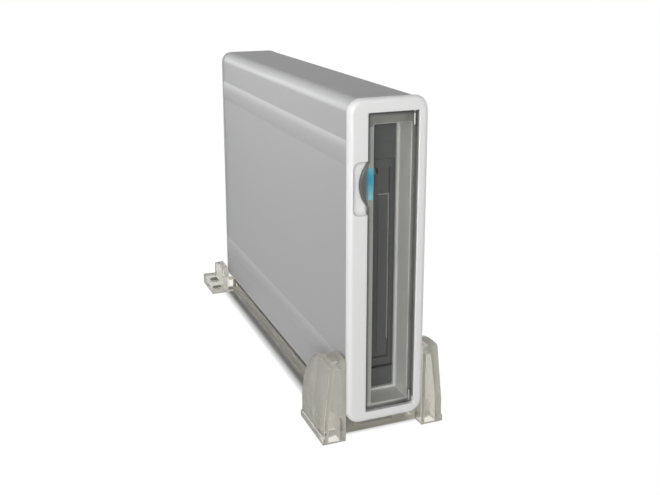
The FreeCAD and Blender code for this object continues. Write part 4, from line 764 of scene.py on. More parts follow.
class Shape:
    """A mesh under construction, in millimetres."""

    def __init__(self) -> None:
        """Start without points and faces."""
        self.points: list[np.ndarray] = []
        self.faces: list[Sequence[int]] = []
        self.count = 0

    def _take(self, points: np.ndarray) -> int:
        """Add points.

        Args:
            points: array of shape (points, 3).

        Returns:
            Number of the first one.
        """
        start = self.count
        self.points.append(points)
        self.count += len(points)
        return start

    def loft(self, loops: Sequence[np.ndarray], closed: bool = False) -> Shape:
        """Skin a row of loops with the same number of points.

        Args:
            loops: loops of points of space.
            closed: the last loop joins the first one; otherwise both ends get a cap.

        Returns:
            The shape itself.
        """
        size = len(loops[0])
        start = self._take(np.vstack(loops))
        around = np.arange(size)
        following = (around + 1) % size
        rows = len(loops) if closed else len(loops) - 1
        for row in range(rows):
            here, there = start + row * size, start + ((row + 1) % len(loops)) * size
            quads = [here + around, here + following, there + following, there + around]
            self.faces += np.column_stack(quads).tolist()
        if not closed:
            self.faces.append((start + around)[::-1].tolist())
            self.faces.append((start + (len(loops) - 1) * size + around).tolist())
        return self

    def block(self, low: Point, high: Point) -> Shape:
        """Add a box.

        Args:
            low: its corner with the least coordinates.
            high: its corner with the largest ones.

        Returns:
            The shape itself.
        """
        x0, y0, z0 = low
        x1, y1, z1 = high
        loop = np.array([(x0, z0), (x1, z0), (x1, z1), (x0, z1)])
        return self.loft([at_depth(loop, y0), at_depth(loop, y1)])

    def prism(self, corners: Sequence[Span] | np.ndarray, axis: int,
              low: float, high: float) -> Shape:
        """Add a prism with its outline across an axis.

        Args:
            corners: outline in the two other axes, in their order.
            axis: number of the axis that the prism runs along.
            low, high: ends of the prism.

        Returns:
            The shape itself.
        """
        flat = np.array(corners, dtype=float)
        ends = []
        for level in (low, high):
            columns = [flat[:, 0], flat[:, 1]]
            columns.insert(axis, np.full(len(flat), level))
            ends.append(np.column_stack(columns))
        return self.loft(ends)

    def bar(self, axis: int, centre: Span, radius: float, low: float, high: float,
            sides: int = 40) -> Shape:
        """Add a round bar along an axis: centre + radius (cos a, sin a).

        Args:
            axis: number of the axis.
            centre: its middle in the two other axes, in their order.
            radius: its radius.
            low, high: its ends.
            sides: points round it.

        Returns:
            The shape itself.
        """
        turn = np.linspace(0.0, 2 * math.pi, sides, endpoint=False)
        corners = [centre[0] + radius * np.cos(turn), centre[1] + radius * np.sin(turn)]
        return self.prism(np.column_stack(corners), axis, low, high)

    def build(self, name: str) -> bpy.types.Object:
        """Make the object, with its faces turned outwards.

        Args:
            name: name of the object.

        Returns:
            The object.
        """
        mesh = bpy.data.meshes.new(name)
        points = np.vstack(self.points) * MM
        mesh.from_pydata(points.tolist(), [], self.faces)
        work = bmesh.new()
        work.from_mesh(mesh)
        bmesh.ops.remove_doubles(work, verts=work.verts, dist=WELD)
        bmesh.ops.recalc_face_normals(work, faces=work.faces)
        work.to_mesh(mesh)
        work.free()
        item = bpy.data.objects.new(name, mesh)
        bpy.context.scene.collection.objects.link(item)
        return item


def build_all(shapes: Iterable[Shape], name: str) -> list[bpy.types.Object]:
    """Make an object of each shape, numbered after one name."""
    return [shape.build(f"{name}_{number}") for number, shape in enumerate(shapes)]


def bake(item: bpy.types.Object) -> None:
    """Replace an object's mesh by what its modifiers make of it.

    Args:
        item: the object.
    """
    graph = bpy.context.evaluated_depsgraph_get()
    mesh = bpy.data.meshes.new_from_object(item.evaluated_get(graph))
    item.modifiers.clear()
    item.data = mesh


def combine(item: bpy.types.Object, others: Iterable[bpy.types.Object],
            operation: str) -> bpy.types.Object:
    """Join, cut or cross an object with others, which are used up.

    Args:
        item: the object.
        others: the objects that it is combined with, in order.
        operation: Blender's name of the operation.

    Returns:
        The object.
    """
    for other in others:
        modifier = item.modifiers.new("combine", "BOOLEAN")
        modifier.operation = operation
        modifier.solver = "EXACT"
        modifier.object = other
        bake(item)
        bpy.data.objects.remove(other)
    return item


def soften(item: bpy.types.Object, width_mm: float = 0.0, angle: float = 32.0,
           segments: int = 3) -> bpy.types.Object:
    """Round the sharp edges of an object and smooth its shading.

    Args:
        item: the object.
        width_mm: width of the rounding, or zero for shading alone.
        angle: least angle in degrees of an edge that counts as sharp.
        segments: faces across each rounding.

    Returns:
        The object.
    """
    if width_mm:
        bevel = item.modifiers.new("edges", "BEVEL")
        bevel.width = width_mm * MM
        bevel.segments = segments
        bevel.limit_method = "ANGLE"
        bevel.angle_limit = math.radians(angle)
        bevel.miter_outer = "MITER_ARC"
        bake(item)
    item.data.shade_smooth()
    item.data.set_sharp_from_angle(angle=math.radians(angle))
    weigh = item.modifiers.new("normals", "WEIGHTED_NORMAL")
    weigh.keep_sharp = True
    bake(item)
    return item


def join(items: Sequence[bpy.types.Object], name: str) -> bpy.types.Object:
    """Put several objects into one mesh as separate islands.

    Args:
        items: the objects, which are used up.
        name: name of the new object.

    Returns:
        The new object.
    """
    work = bmesh.new()
    for item in items:
        work.from_mesh(item.data)
    mesh = bpy.data.meshes.new(name)
    work.to_mesh(mesh)
    work.free()
    for item in items:
        bpy.data.objects.remove(item)
    joined = bpy.data.objects.new(name, mesh)
    bpy.context.scene.collection.objects.link(joined)
    return joined


class Studio:
    """Finishes, bodies and bookkeeping shared by every sub-assembly."""

    def __init__(self) -> None:
        """Load the frame and build the finishes."""
        self.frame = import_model()
        self.cad_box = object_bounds()
        self.materials = {slot: finish.material(slot.value) for slot, finish in FINISHES.items()}

    def paint_nodes(self) -> None:
        """Give every CAD node the finish of its slot."""
        for entry in self.frame["record"]["subparts"]:
            item = self.frame["nodes"][entry["node"]]
            material = self.materials[Slot(entry["material_slot"])]
            for place in item.material_slots:
                place.material = material

    def keep(self, item: bpy.types.Object, body: str, slot: Slot, *nodes: str) -> None:
        """Finish a piece: paint it, tie it to its body and let it stand for CAD nodes.

        Args:
            item: the piece.
            body: name of the body that it rides on.
            slot: its material slot.
            nodes: names of the CAD nodes that it replaces.
        """
        item.data.materials.clear()
        item.data.materials.append(self.materials[slot])
        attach(item, body)
        if nodes:
            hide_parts(*nodes)
        LOG.info("%s: %d faces", item.name, len(item.data.polygons))

    def write_sizes(self) -> None:
        boxes = {"cad": self.cad_box, "visual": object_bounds()}
        plain = {name: [[float(value) for value in corner] for corner in box]
                 for name, box in boxes.items()}


@dataclass(frozen=True)
class Case:
    """Outline of the case and the places that its pieces share, in millimetres."""

    front: float = FRONT
    lift: float = LIFT
    half: float = 19.0
    height: float = 150.0
    depth: float = 207.0
    corner: float = 6.5
    least_corner: float = 0.4
    seam: float = 3.0
    rear: float = 204.5

    def y(self, depth: float) -> float:
        """Y at a depth behind the front face."""
        return self.front + depth

    def z(self, height: float) -> float:
        """Z at a height above the underside."""
        return self.lift + height

    def rounded(self, sides: Rect, inset: float, radius: float, **points: int) -> np.ndarray:
        """A rounded rectangle in the X-Z plane.

        Args:
            sides: left, low, right and high side, as X and height.
            inset: distance by which every side is set in.
            radius: its corner radius.
            points: numbers of points, as ring takes them.

        Returns:
            The loop that ring gives.
        """
        left, low, right, high = sides
        return ring(left + inset, self.z(low + inset), right - inset, self.z(high - inset),
                    radius, **points)

    def outline(self, inset: float) -> np.ndarray:
        """Rounded outline of the case, set in by a distance."""
        sides = (-self.half, 0.0, self.half, self.height)
        return self.rounded(sides, inset, max(self.corner - inset, self.least_corner))

    def slab(self, sides: Rect, span: Span) -> Shape:
        """A block between two depths.

        Args:
            sides: left, low, right and high side, as X and height.
            span: its first and its last depth.

        Returns:
            The block's shape.
        """
        left, low, right, high = sides
        start, end = span
        return Shape().block((left, self.y(start), self.z(low)), (right, self.y(end), self.z(high)))


@dataclass(frozen=True)
class Sleeve:
    """Extruded sleeve with two beads along each side, in millimetres."""

    case: Case
    plan: SleevePlan = SleevePlan()
    eased: tuple[Span, ...] = ((0.25, 0.0), (0.07, 0.07), (0.0, 0.25))
    sharp: float = 40.0

    def swell(self, height: np.ndarray) -> np.ndarray:
        """How far the beads stand out.

        A bead has a round crown and short flanks: rise (1 - u^power), with u the
        height from its middle over its half width, and zero outside.

        Args:
            height: heights above the underside.

        Returns:
            The rise at each height.
        """
        plan = self.plan
        out = np.zeros_like(height)
        for middle in plan.bead_levels:
            away = np.clip(np.abs(height - middle) / plan.bead_half, 0.0, 1.0)
            out = np.maximum(out, plan.bead_rise * (1.0 - away ** plan.bead_power))
        return out

    def section(self, inset: float) -> np.ndarray:
        """Plain section of the sleeve, set in by a distance."""
        plan = self.plan
        return self.case.rounded((-plan.half, plan.low, plan.half, plan.high), inset,
                                 plan.corner - inset, corner=14, wide=8, tall=340)

    def beaded(self, inset: float) -> np.ndarray:
        """Section of the sleeve with its beads.

        Args:
            inset: distance by which it is set in.

        Returns:
            The section's loop, with its upright sides moved out by the beads' rise.
        """
        loop = self.section(inset)
        rise = np.sign(loop[:, 0]) * self.swell(loop[:, 1] - self.case.lift)
        side = np.abs(loop[:, 0]) > self.plan.half - inset - TINY
        loop[:, 0] += np.where(side, rise, 0.0)
        return loop

    def build(self) -> bpy.types.Object:
        """Carry the section from the seam to the rear panel and ease both ends.

        Returns:
            The sleeve.
        """
        start, end = self.case.y(self.case.seam), self.case.y(self.case.rear)
        inner = self.section(self.plan.wall)
        loops = [at_depth(self.beaded(inset), start + depth) for depth, inset in self.eased]
        loops += [at_depth(inner, start), at_depth(inner, end)]
        loops += [at_depth(self.beaded(inset), end - depth) for depth, inset in reversed(self.eased)]
        return soften(Shape().loft(loops, closed=True).build("sleeve"), angle=self.sharp)


@dataclass(frozen=True)
class Bezel:
    """White frame with the door's rebate, the tunnel to the drive and the finger scoop."""

    case: Case
    front_round: float = 2.4
    eased: tuple[Span, ...] = ((0.0, -0.5), (0.06, -0.2), (0.2, -0.06), (0.5, 0.0))
    mouth: Rect = (-10.0, 5.0, 14.2, 143.6)
    tunnel: Rect = (-5.8, 7.0, 12.0, 138.0)
    corner: float = 0.6
    rebate: float = 3.4
    tunnel_end: float = 16.4
    tunnel_wall: float = 1.5
    lip: float = 1.2
    lip_depth: float = 1.4
    skin: float = 2.6
    skin_back: float = 5.2
    guide: Rect = (-9.5, 104.6, -6.1, 119.0)
    guide_cut: Span = (-1.0, 5.3)
    scoop_sides: Rect = (-17.0, 98.8, -4.0, 122.8)
    scoop_corner: float = 3.0
    scoop_start: float = -2.0
    scoop_rim: float = 0.4
    scoop_deep: float = 3.4
    scoop_draw: float = 2.6
    scoop_trim: Rect = (-20.0, 95.0, -9.9, 130.0)
    trim_span: Span = (-3.0, 5.0)
    edge_steps: int = 9
    scoop_steps: int = 10
    soft: float = 0.3
    sharp: float = 50.0

    def build(self) -> bpy.types.Object:
        """Make one closed skin round the outside, the rebate and the tunnel.

        The outer edge is a quarter circle: inset r (1 - cos a), depth r (1 - sin a).

        Returns:
            The frame.
        """
        case = self.case
        loops = [at_depth(case.outline(0.0), case.y(case.seam))]
        for angle in np.linspace(0.0, QUARTER, self.edge_steps):
            inset, depth = 1 - math.cos(angle), 1 - math.sin(angle)
            loops.append(at_depth(case.outline(self.front_round * inset),
                                  case.y(self.front_round * depth)))
        rim = [*self.eased, (self.rebate, 0.0)]
        lip_start = self.tunnel_end - self.lip_depth
        throat = [(self.rebate + depth, inset) for depth, inset in self.eased]
        throat += [(lip_start, 0.0), (lip_start, self.lip), (self.tunnel_end, self.lip),
                   (self.tunnel_end, -self.tunnel_wall), (self.skin_back, -self.tunnel_wall)]
        for sides, rows in ((self.mouth, rim), (self.tunnel, throat)):
            loops += [at_depth(case.rounded(sides, inset, self.corner), case.y(depth))
                      for depth, inset in rows]
        loops += [at_depth(case.outline(self.skin), case.y(depth))
                  for depth in (self.skin_back, case.seam)]
        frame = Shape().loft(loops, closed=True).build("bezel_frame")
        window = case.slab(self.guide, self.guide_cut)
        combine(frame, [self.scoop(), window.build("guide_cut")], "DIFFERENCE")
        return soften(frame, self.soft, angle=self.sharp)

    def scoop(self) -> bpy.types.Object:
        """Make the cutter of the finger scoop: a dish that ends level with the door's opening.

        At an angle a from the rim, depth = rim + deep sin a and the sides move in
        by draw (1 - cos a), the lower one by twice that, so that it slopes upwards.

        Returns:
            The cutter.
        """
        case = self.case
        left, low, right, high = self.scoop_sides
        rows = [(self.scoop_start, 0.0), (self.scoop_rim, 0.0)]
        rows += [(self.scoop_rim + self.scoop_deep * math.sin(a), self.scoop_draw * (1 - math.cos(a)))
                 for a in np.linspace(0.0, QUARTER, self.scoop_steps)[1:]]
        loops = []
        for depth, inset in rows:
            edge = ring(left + inset, case.z(low + 2 * inset), right, case.z(high - inset),
                        self.scoop_corner, corner=12, tall=8)
            loops.append(at_depth(edge, case.y(depth)))
        dish = Shape().loft(loops).build("scoop_dish")
        side = case.slab(self.scoop_trim, self.trim_span)
        return combine(dish, [side.build("scoop_side")], "INTERSECT")


@dataclass(frozen=True)
class Door:
    """Clear door with a thumb tab and a rounded hinge edge, in millimetres."""

    case: Case
    plan: DoorPlan = DoorPlan()
    corner: float = 0.5
    middle: float = 2.0
    half_thick: float = 1.0
    edge_round: float = 0.4
    edge_steps: int = 15
    sharp: float = 45.0

    def outline(self) -> np.ndarray:
        """Outline of the plate: a rounded rectangle whose left side carries a shallow arc.

        On the tab, x = left - (sqrt(r^2 - d^2) - (r - reach)) with d the height
        from the tab's middle and r the tab's radius.

        Returns:
            The outline's loop.
        """
        plan, radius = self.plan, self.plan.tab_radius
        loop = self.case.rounded((plan.left, plan.low, plan.right, plan.high), 0.0, self.corner,
                                 corner=6, tall=276)
        away = np.clip(np.abs(loop[:, 1] - self.case.z(plan.tab_level)), 0.0, plan.tab_half)
        swell = np.sqrt(radius ** 2 - away ** 2) - (radius - plan.tab_reach)
        loop[:, 0] -= np.where(loop[:, 0] < plan.left + TINY, swell, 0.0)
        return loop

    def build(self) -> bpy.types.Object:
        """Make the plate with softened edges and a full round on the hinge side.

        At an angle a from the middle, the edge moves in by r (1 - cos a), with r
        growing from the softened edge to half the thickness at the hinge.

        Returns:
            The door.
        """
        loop = self.outline()
        along = np.roll(loop, -1, axis=0) - np.roll(loop, 1, axis=0)
        along /= np.maximum(np.linalg.norm(along, axis=1, keepdims=True), SHORTEST)
        inward = np.column_stack([-along[:, 1], along[:, 0]])
        hinge_start = self.plan.right - self.half_thick
        share = np.clip((loop[:, 0] - hinge_start) / self.half_thick, 0.0, 1.0)
        radius = self.edge_round + (self.half_thick - self.edge_round) * share
        middle = self.case.y(self.middle)
        loops = []
        for angle in np.linspace(-QUARTER, QUARTER, self.edge_steps):
            flat = loop + inward * (radius * (1 - math.cos(angle)))[:, None]
            depth = np.sign(angle) * (self.half_thick - radius) + radius * math.sin(angle)
            loops.append(np.column_stack([flat[:, 0], middle + depth, flat[:, 1]]))
        return soften(Shape().loft(loops).build("door_plate"), angle=self.sharp)


@dataclass(frozen=True)
class DriveFace:
    """Face of the mechanism with its flap and its button, in millimetres."""

    case: Case
    sides: Rect = (-10.6, 17.6, 14.8, 119.2)
    face: float = 17.6
    deep: float = 6.0
    edge: float = 0.8
    bend: float = 0.24
    cut: Span = (10.0, 30.0)
    slot: Rect = (0.4, 21.9, 9.0, 114.9)
    button_hole: Rect = (-5.15, 35.35, -0.85, 44.65)
    middle: float = -3.0
    light_level: float = 28.0
    light_radius: float = 1.15
    pin_level: float = 20.0
    pin_radius: float = 0.6
    flap_sides: Rect = (1.6, 22.15, 8.75, 111.99)
    flap_span: Span = (18.7, 20.1)
    barrel_radius: float = 1.0
    panel: Rect = (3.35, 23.55, 8.75, 102.55)
    panel_span: Span = (18.2, 19.0)
    ear: Rect = (3.2, 111.0, 8.75, 114.6)
    cap: Rect = (-5.0, 35.5, -1.0, 44.5)
    cap_corner: float = 0.8
    cap_rows: tuple[Span, ...] = ((16.9, 0.5), (16.98, 0.2), (17.2, 0.03), (17.4, 0.0), (21.8, 0.0))
    flange: Rect = (-6.0, 34.5, 0.0, 45.5)
    flange_span: Span = (21.8, 22.8)
    stem_level: float = 40.0
    stem_radius: float = 1.2
    stem_end: float = 23.55
    corners: Point = (0.3, 0.6, 0.8)
    soft: float = 0.25
    flap_soft: float = 0.2
    sharp: float = 50.0
    button_sharp: float = 45.0

    def hole(self, level: float, radius: float, sides: int) -> Shape:
        """Cutter of a round hole beside the slot."""
        start, end = (self.case.y(depth) for depth in self.cut)
        return Shape().bar(1, (self.middle, self.case.z(level)), radius, start, end, sides=sides)

    def bezel(self) -> bpy.types.Object:
        """Make the dark moulding with the slot and the small openings beside it.

        Returns:
            The moulding.
        """
        case, edge, bend = self.case, self.edge, self.bend
        first, second, last = self.corners
        rows = [(edge, first, 0.0), (bend, second, bend), (0.0, last, edge), (0.0, last, self.deep)]
        loops = [at_depth(case.rounded(self.sides, inset, radius), case.y(self.face + depth))
                 for inset, radius, depth in rows]
        body = Shape().loft(loops).build("drive_face")
        cuts = [case.slab(self.slot, self.cut), case.slab(self.button_hole, self.cut),
                self.hole(self.light_level, self.light_radius, 24),
                self.hole(self.pin_level, self.pin_radius, 16)]
        combine(body, build_all(cuts, "face_cut"), "DIFFERENCE")
        return soften(body, self.soft, angle=self.sharp, segments=2)

    def flap(self) -> bpy.types.Object:
        """Make the flap with its hinge barrel, its raised panel and its end.

        Returns:
            The flap.
        """
        case = self.case
        left, low, _, high = self.flap_sides
        body = case.slab(self.flap_sides, self.flap_span).build("flap")
        axis = (left, case.y(sum(self.flap_span) / 2))
        barrel = Shape().bar(2, axis, self.barrel_radius, case.z(low), case.z(high), sides=28)
        panel = case.slab(self.panel, self.panel_span)
        ear = case.slab(self.ear, self.flap_span)
        combine(body, build_all((barrel, panel, ear), "flap_part"), "UNION")
        return soften(body, self.flap_soft, angle=self.sharp, segments=2)

    def button(self) -> bpy.types.Object:
        """Make the eject button with a softened front, a flange and a stem.

        Returns:
            The button.
        """
        case = self.case
        loops = [at_depth(case.rounded(self.cap, inset, self.cap_corner, tall=6), case.y(depth))
                 for depth, inset in self.cap_rows]
        shape = Shape().loft(loops)
        left, low, right, high = self.flange
        start, end = (case.y(depth) for depth in self.flange_span)
        shape.block((left, start, case.z(low)), (right, end, case.z(high)))
        shape.bar(1, (self.middle, case.z(self.stem_level)), self.stem_radius,
                  end, case.y(self.stem_end), sides=24)
        return soften(shape.build("eject_cap"), angle=self.button_sharp)


@dataclass(frozen=True)
class Rear:
    """Rear panel with its screws, in millimetres."""

    case: Case
    inset: float = 0.4
    edge: float = 0.8
    bend: float = 0.24
    cut: Span = (200.0, 210.0)
    power_inlet: Rect = (-6.65, 81.75, 4.85, 91.25)
    power_switch: Rect = (-6.65, 103.75, 4.85, 118.25)
    data_socket: tuple[Span, ...] = ((-6.65, 61.75), (2.85, 61.75), (4.85, 63.75),
                                     (4.85, 72.25), (2.85, 74.25), (-6.65, 74.25))
    vent: Rect = (-11.0, 24.0, 11.0, 26.0)
    vent_pitch: float = 4.4
    vent_count: int = 7
    screw_levels: Span = (14.0, 136.0)
    head_rows: tuple[Span, ...] = ((0.0, 2.6), (0.6, 2.6), (1.1, 2.35), (1.4, 1.8), (1.5, 1.0))
    shank_radius: float = 1.15
    shank_start: float = 200.5
    slot_long: float = 1.5
    slot_half: float = 0.25
    slot_span: Span = (207.5, 209.0)
    soft: float = 0.25
    sharp: float = 50.0
    screw_sharp: float = 40.0

    def panel(self) -> bpy.types.Object:
        """Make the back plate with socket cut-outs and vent slots.

        Returns:
            The plate.
        """
        case, end = self.case, self.case.depth
        rows = [(case.rear, 0.0), (end - self.edge, 0.0), (end - self.bend, self.bend),
                (end, self.edge)]
        loops = [at_depth(case.outline(self.inset + more), case.y(depth)) for depth, more in rows]
        plate = Shape().loft(loops).build("rear_plate")
        left, low, right, high = self.vent
        holes = [self.power_inlet, self.power_switch]
        holes += [(left, low + self.vent_pitch * row, right, high + self.vent_pitch * row)
                  for row in range(self.vent_count)]
        cuts = [case.slab(sides, self.cut) for sides in holes]
        socket = [(x, case.z(height)) for x, height in self.data_socket]
        cuts.append(Shape().prism(socket, 1, *(case.y(depth) for depth in self.cut)))
        combine(plate, build_all(cuts, "rear_cut"), "DIFFERENCE")
        return soften(plate, self.soft, angle=self.sharp, segments=2)

    def screws(self) -> bpy.types.Object:
        """Make two screws with domed heads and crossed slots.

        Returns:
            The screws as one piece.
        """
        case, long, half = self.case, self.slot_long, self.slot_half
        turn = np.linspace(0.0, 2 * math.pi, 48, endpoint=False)
        circle = np.column_stack([np.cos(turn), np.sin(turn)])
        parts = []
        for level in self.screw_levels:
            centre = (0.0, case.z(level))
            loops = [at_depth(radius * circle + centre, case.y(case.depth + rise))
                     for rise, radius in self.head_rows]
            head = Shape().loft(loops).build("screw_head")
            slots = [(-long, level - half, long, level + half),
                     (-half, level - long, half, level + long)]
            cuts = [case.slab(sides, self.slot_span) for sides in slots]
            combine(head, build_all(cuts, "screw_slot"), "DIFFERENCE")
            shank = Shape().bar(1, centre, self.shank_radius, case.y(self.shank_start),
                                case.y(case.depth))
            parts += [head, shank.build("screw_shank")]
        return soften(join(parts, "rear_screw_set"), angle=self.screw_sharp)


@dataclass(frozen=True)
class Stand:
    """Clear moulded stand, in millimetres.

    The floor, the seat, the step, the waist, the flat foot, the pad's seat and the
    boss are counted from the ground; the tops of leg and upright are heights.
    """

    case: Case
    floor: float = 0.8
    seat: float = 9.2
    inner: float = 19.3
    outer: float = 30.6
    wall: float = 2.5
    bar_half: float = 20.5
    bar_span: Span = (9.6, 15.6)
    step_start: float = 7.6
    step_top: float = 8.4
    rear_bar: Span = (201.0, 207.0)
    rail: Span = (9.5, 16.5)
    rail_span: Span = (12.6, 205.5)
    stop_half: float = 8.0
    stop_span: Span = (207.3, 210.3)
    stop_rise: float = 5.0
    leg_span: Span = (1.2, 31.0)
    leg_top: float = 32.0
    leg_outer: float = 29.8
    leg_tip: float = 26.8
    leg_waist: float = 12.0
    leg_foot: float = 3.0
    leg_round: float = 24.0
    leg_edge: float = 1.0
    hollow_back: float = 18.2
    hollow_roof: float = 5.0
    hollow_low: float = -0.2
    trim_low: float = -5.0
    trim_across: Span = (10.0, 40.0)
    foot_back: float = 225.0
    foot_top: float = 6.8
    post_outer: float = 24.0
    post_back: float = 219.0
    post_top: float = 8.7
    post_round: float = 4.0
    pad_across: float = 24.8
    pad_depths: Span = (12.4, 217.0)
    pad_radius: float = 3.25
    pad_seat: float = 1.6
    boss_radius: float = 4.45
    boss_top: float = 10.4
    soft: float = 0.5
    sharp: float = 40.0

    @staticmethod
    def arc(centre: Span, radius: float, start: float, end: float, steps: int = 12) -> list[Span]:
        """Points of an arc between two angles in degrees: centre + radius (cos a, sin a)."""
        return [(centre[0] + radius * math.cos(a), centre[1] + radius * math.sin(a))
                for a in np.radians(np.linspace(start, end, steps))]

    def front_leg(self, side: int) -> bpy.types.Object:
        """Make a tapered front leg, rounded at the top of its back edge and hollow below.

        Args:
            side: -1 for the left leg, 1 for the right one.

        Returns:
            The leg.
        """
        case, floor, waist, wall = self.case, self.floor, self.leg_waist, self.wall
        front, back = (case.y(depth) for depth in self.leg_span)
        top, foot = case.z(self.leg_top), floor + self.leg_foot
        section = [(self.inner, floor), (self.outer, floor), (self.outer, foot), (self.leg_outer, foot),
                   (self.leg_outer, waist), (self.leg_tip, top), (self.inner, top)]
        leg = Shape().prism([(side * x, z) for x, z in section], 1, front, back).build(f"leg_{side}")
        large, small = self.leg_round, self.leg_edge
        profile = [(front, self.trim_low), (back, self.trim_low)]
        profile += self.arc((back - large, top - large), large, 0.0, 90.0, 24)
        profile += self.arc((front + small, top - small), small, 90.0, 180.0, 6)
        trim = Shape().prism(profile, 0, *(side * x for x in self.trim_across))
        combine(leg, [trim.build("leg_trim")], "INTERSECT")
        start, end, tip = self.inner + wall, self.leg_outer - wall, self.leg_tip - wall
        low, roof = self.hollow_low, top - self.hollow_roof
        cavity = [(start, low), (end, low), (end, waist), (tip, roof), (start, roof)]
        hollow = Shape().prism([(side * x, z) for x, z in cavity], 1, front + wall,
                               case.y(self.hollow_back))
        combine(leg, [hollow.build("leg_hollow")], "DIFFERENCE")
        centre = (side * self.pad_across, case.y(self.pad_depths[0]))
        boss = Shape().bar(2, centre, self.boss_radius, floor, self.boss_top)
        return combine(leg, [boss.build("pad_boss")], "UNION")

    def rear_foot(self, side: int) -> bpy.types.Object:
        """Make a flat rear foot with a short rounded upright.

        Args:
            side: -1 for the left foot, 1 for the right one.

        Returns:
            The foot.
        """
        case, radius = self.case, self.post_round
        front, end, top = case.y(self.rear_bar[0]), case.y(self.post_back), case.z(self.post_top)
        left, right = sorted((side * self.inner, side * self.outer))
        foot = Shape().block((left, front, self.floor), (right, case.y(self.foot_back), self.foot_top))
        profile = [(front, self.floor), (end, self.floor)]
        profile += self.arc((end - radius, top - radius), radius, 0.0, 90.0)
        profile += self.arc((front + radius, top - radius), radius, 90.0, 180.0)
        post = Shape().prism(profile, 0, *sorted((side * self.inner, side * self.post_outer)))
        return combine(foot.build(f"foot_{side}"), [post.build("foot_post")], "UNION")

    def build(self) -> bpy.types.Object:
        """Join bars, rails, stop, legs and feet and sink the seats of the pads.

        Returns:
            The stand as one clear moulding.
        """
        y, seat, (near, far) = self.case.y, self.seat, self.rail
        bar, stop = (-self.bar_half, self.bar_half), (-self.stop_half, self.stop_half)
        blocks = [(bar, self.bar_span, seat), (bar, (self.step_start, self.bar_span[1]), self.step_top),
                  (bar, self.rear_bar, seat),
                  ((-far, -near), self.rail_span, seat), ((near, far), self.rail_span, seat),
                  (stop, (self.rear_bar[0], self.stop_span[1]), seat),
                  (stop, self.stop_span, seat + self.stop_rise)]
        shapes = [Shape().block((left, y(start), self.floor), (right, y(end), top))
                  for (left, right), (start, end), top in blocks]
        stand = shapes[0].build("clear_stand")
        parts = build_all(shapes[1:], "stand_block")
        parts += [self.front_leg(side) for side in (-1, 1)]
        parts += [self.rear_foot(side) for side in (-1, 1)]
        combine(stand, parts, "UNION")
        seats = [Shape().bar(2, (side * self.pad_across, y(depth)), self.pad_radius, 0.0, self.pad_seat)
                 for side in (-1, 1) for depth in self.pad_depths]
        combine(stand, build_all(seats, "pad_seat"), "DIFFERENCE")
        return soften(stand, self.soft, angle=self.sharp)


@dataclass(frozen=True)
class Lamp:
    """A square soft light: place, aim and size in metres, power in watts, spread in degrees."""

    name: str
    place: Point
    size: float
    power: float
    aim: Point = (0.0, 0.0, 0.08)
    spread: float = 180.0

    def hang(self) -> None:
        """Put the light into the scene, turned to its aim."""
        data = bpy.data.lights.new(self.name, "AREA")
        data.shape = "SQUARE"
        data.size = self.size
        data.energy = self.power
        data.spread = math.radians(self.spread)
        item = bpy.data.objects.new(self.name, data)
        item.location = self.place
        back = Vector(self.place) - Vector(self.aim)
        item.rotation_euler = back.to_track_quat("Z", "Y").to_euler()
        bpy.context.scene.collection.objects.link(item)


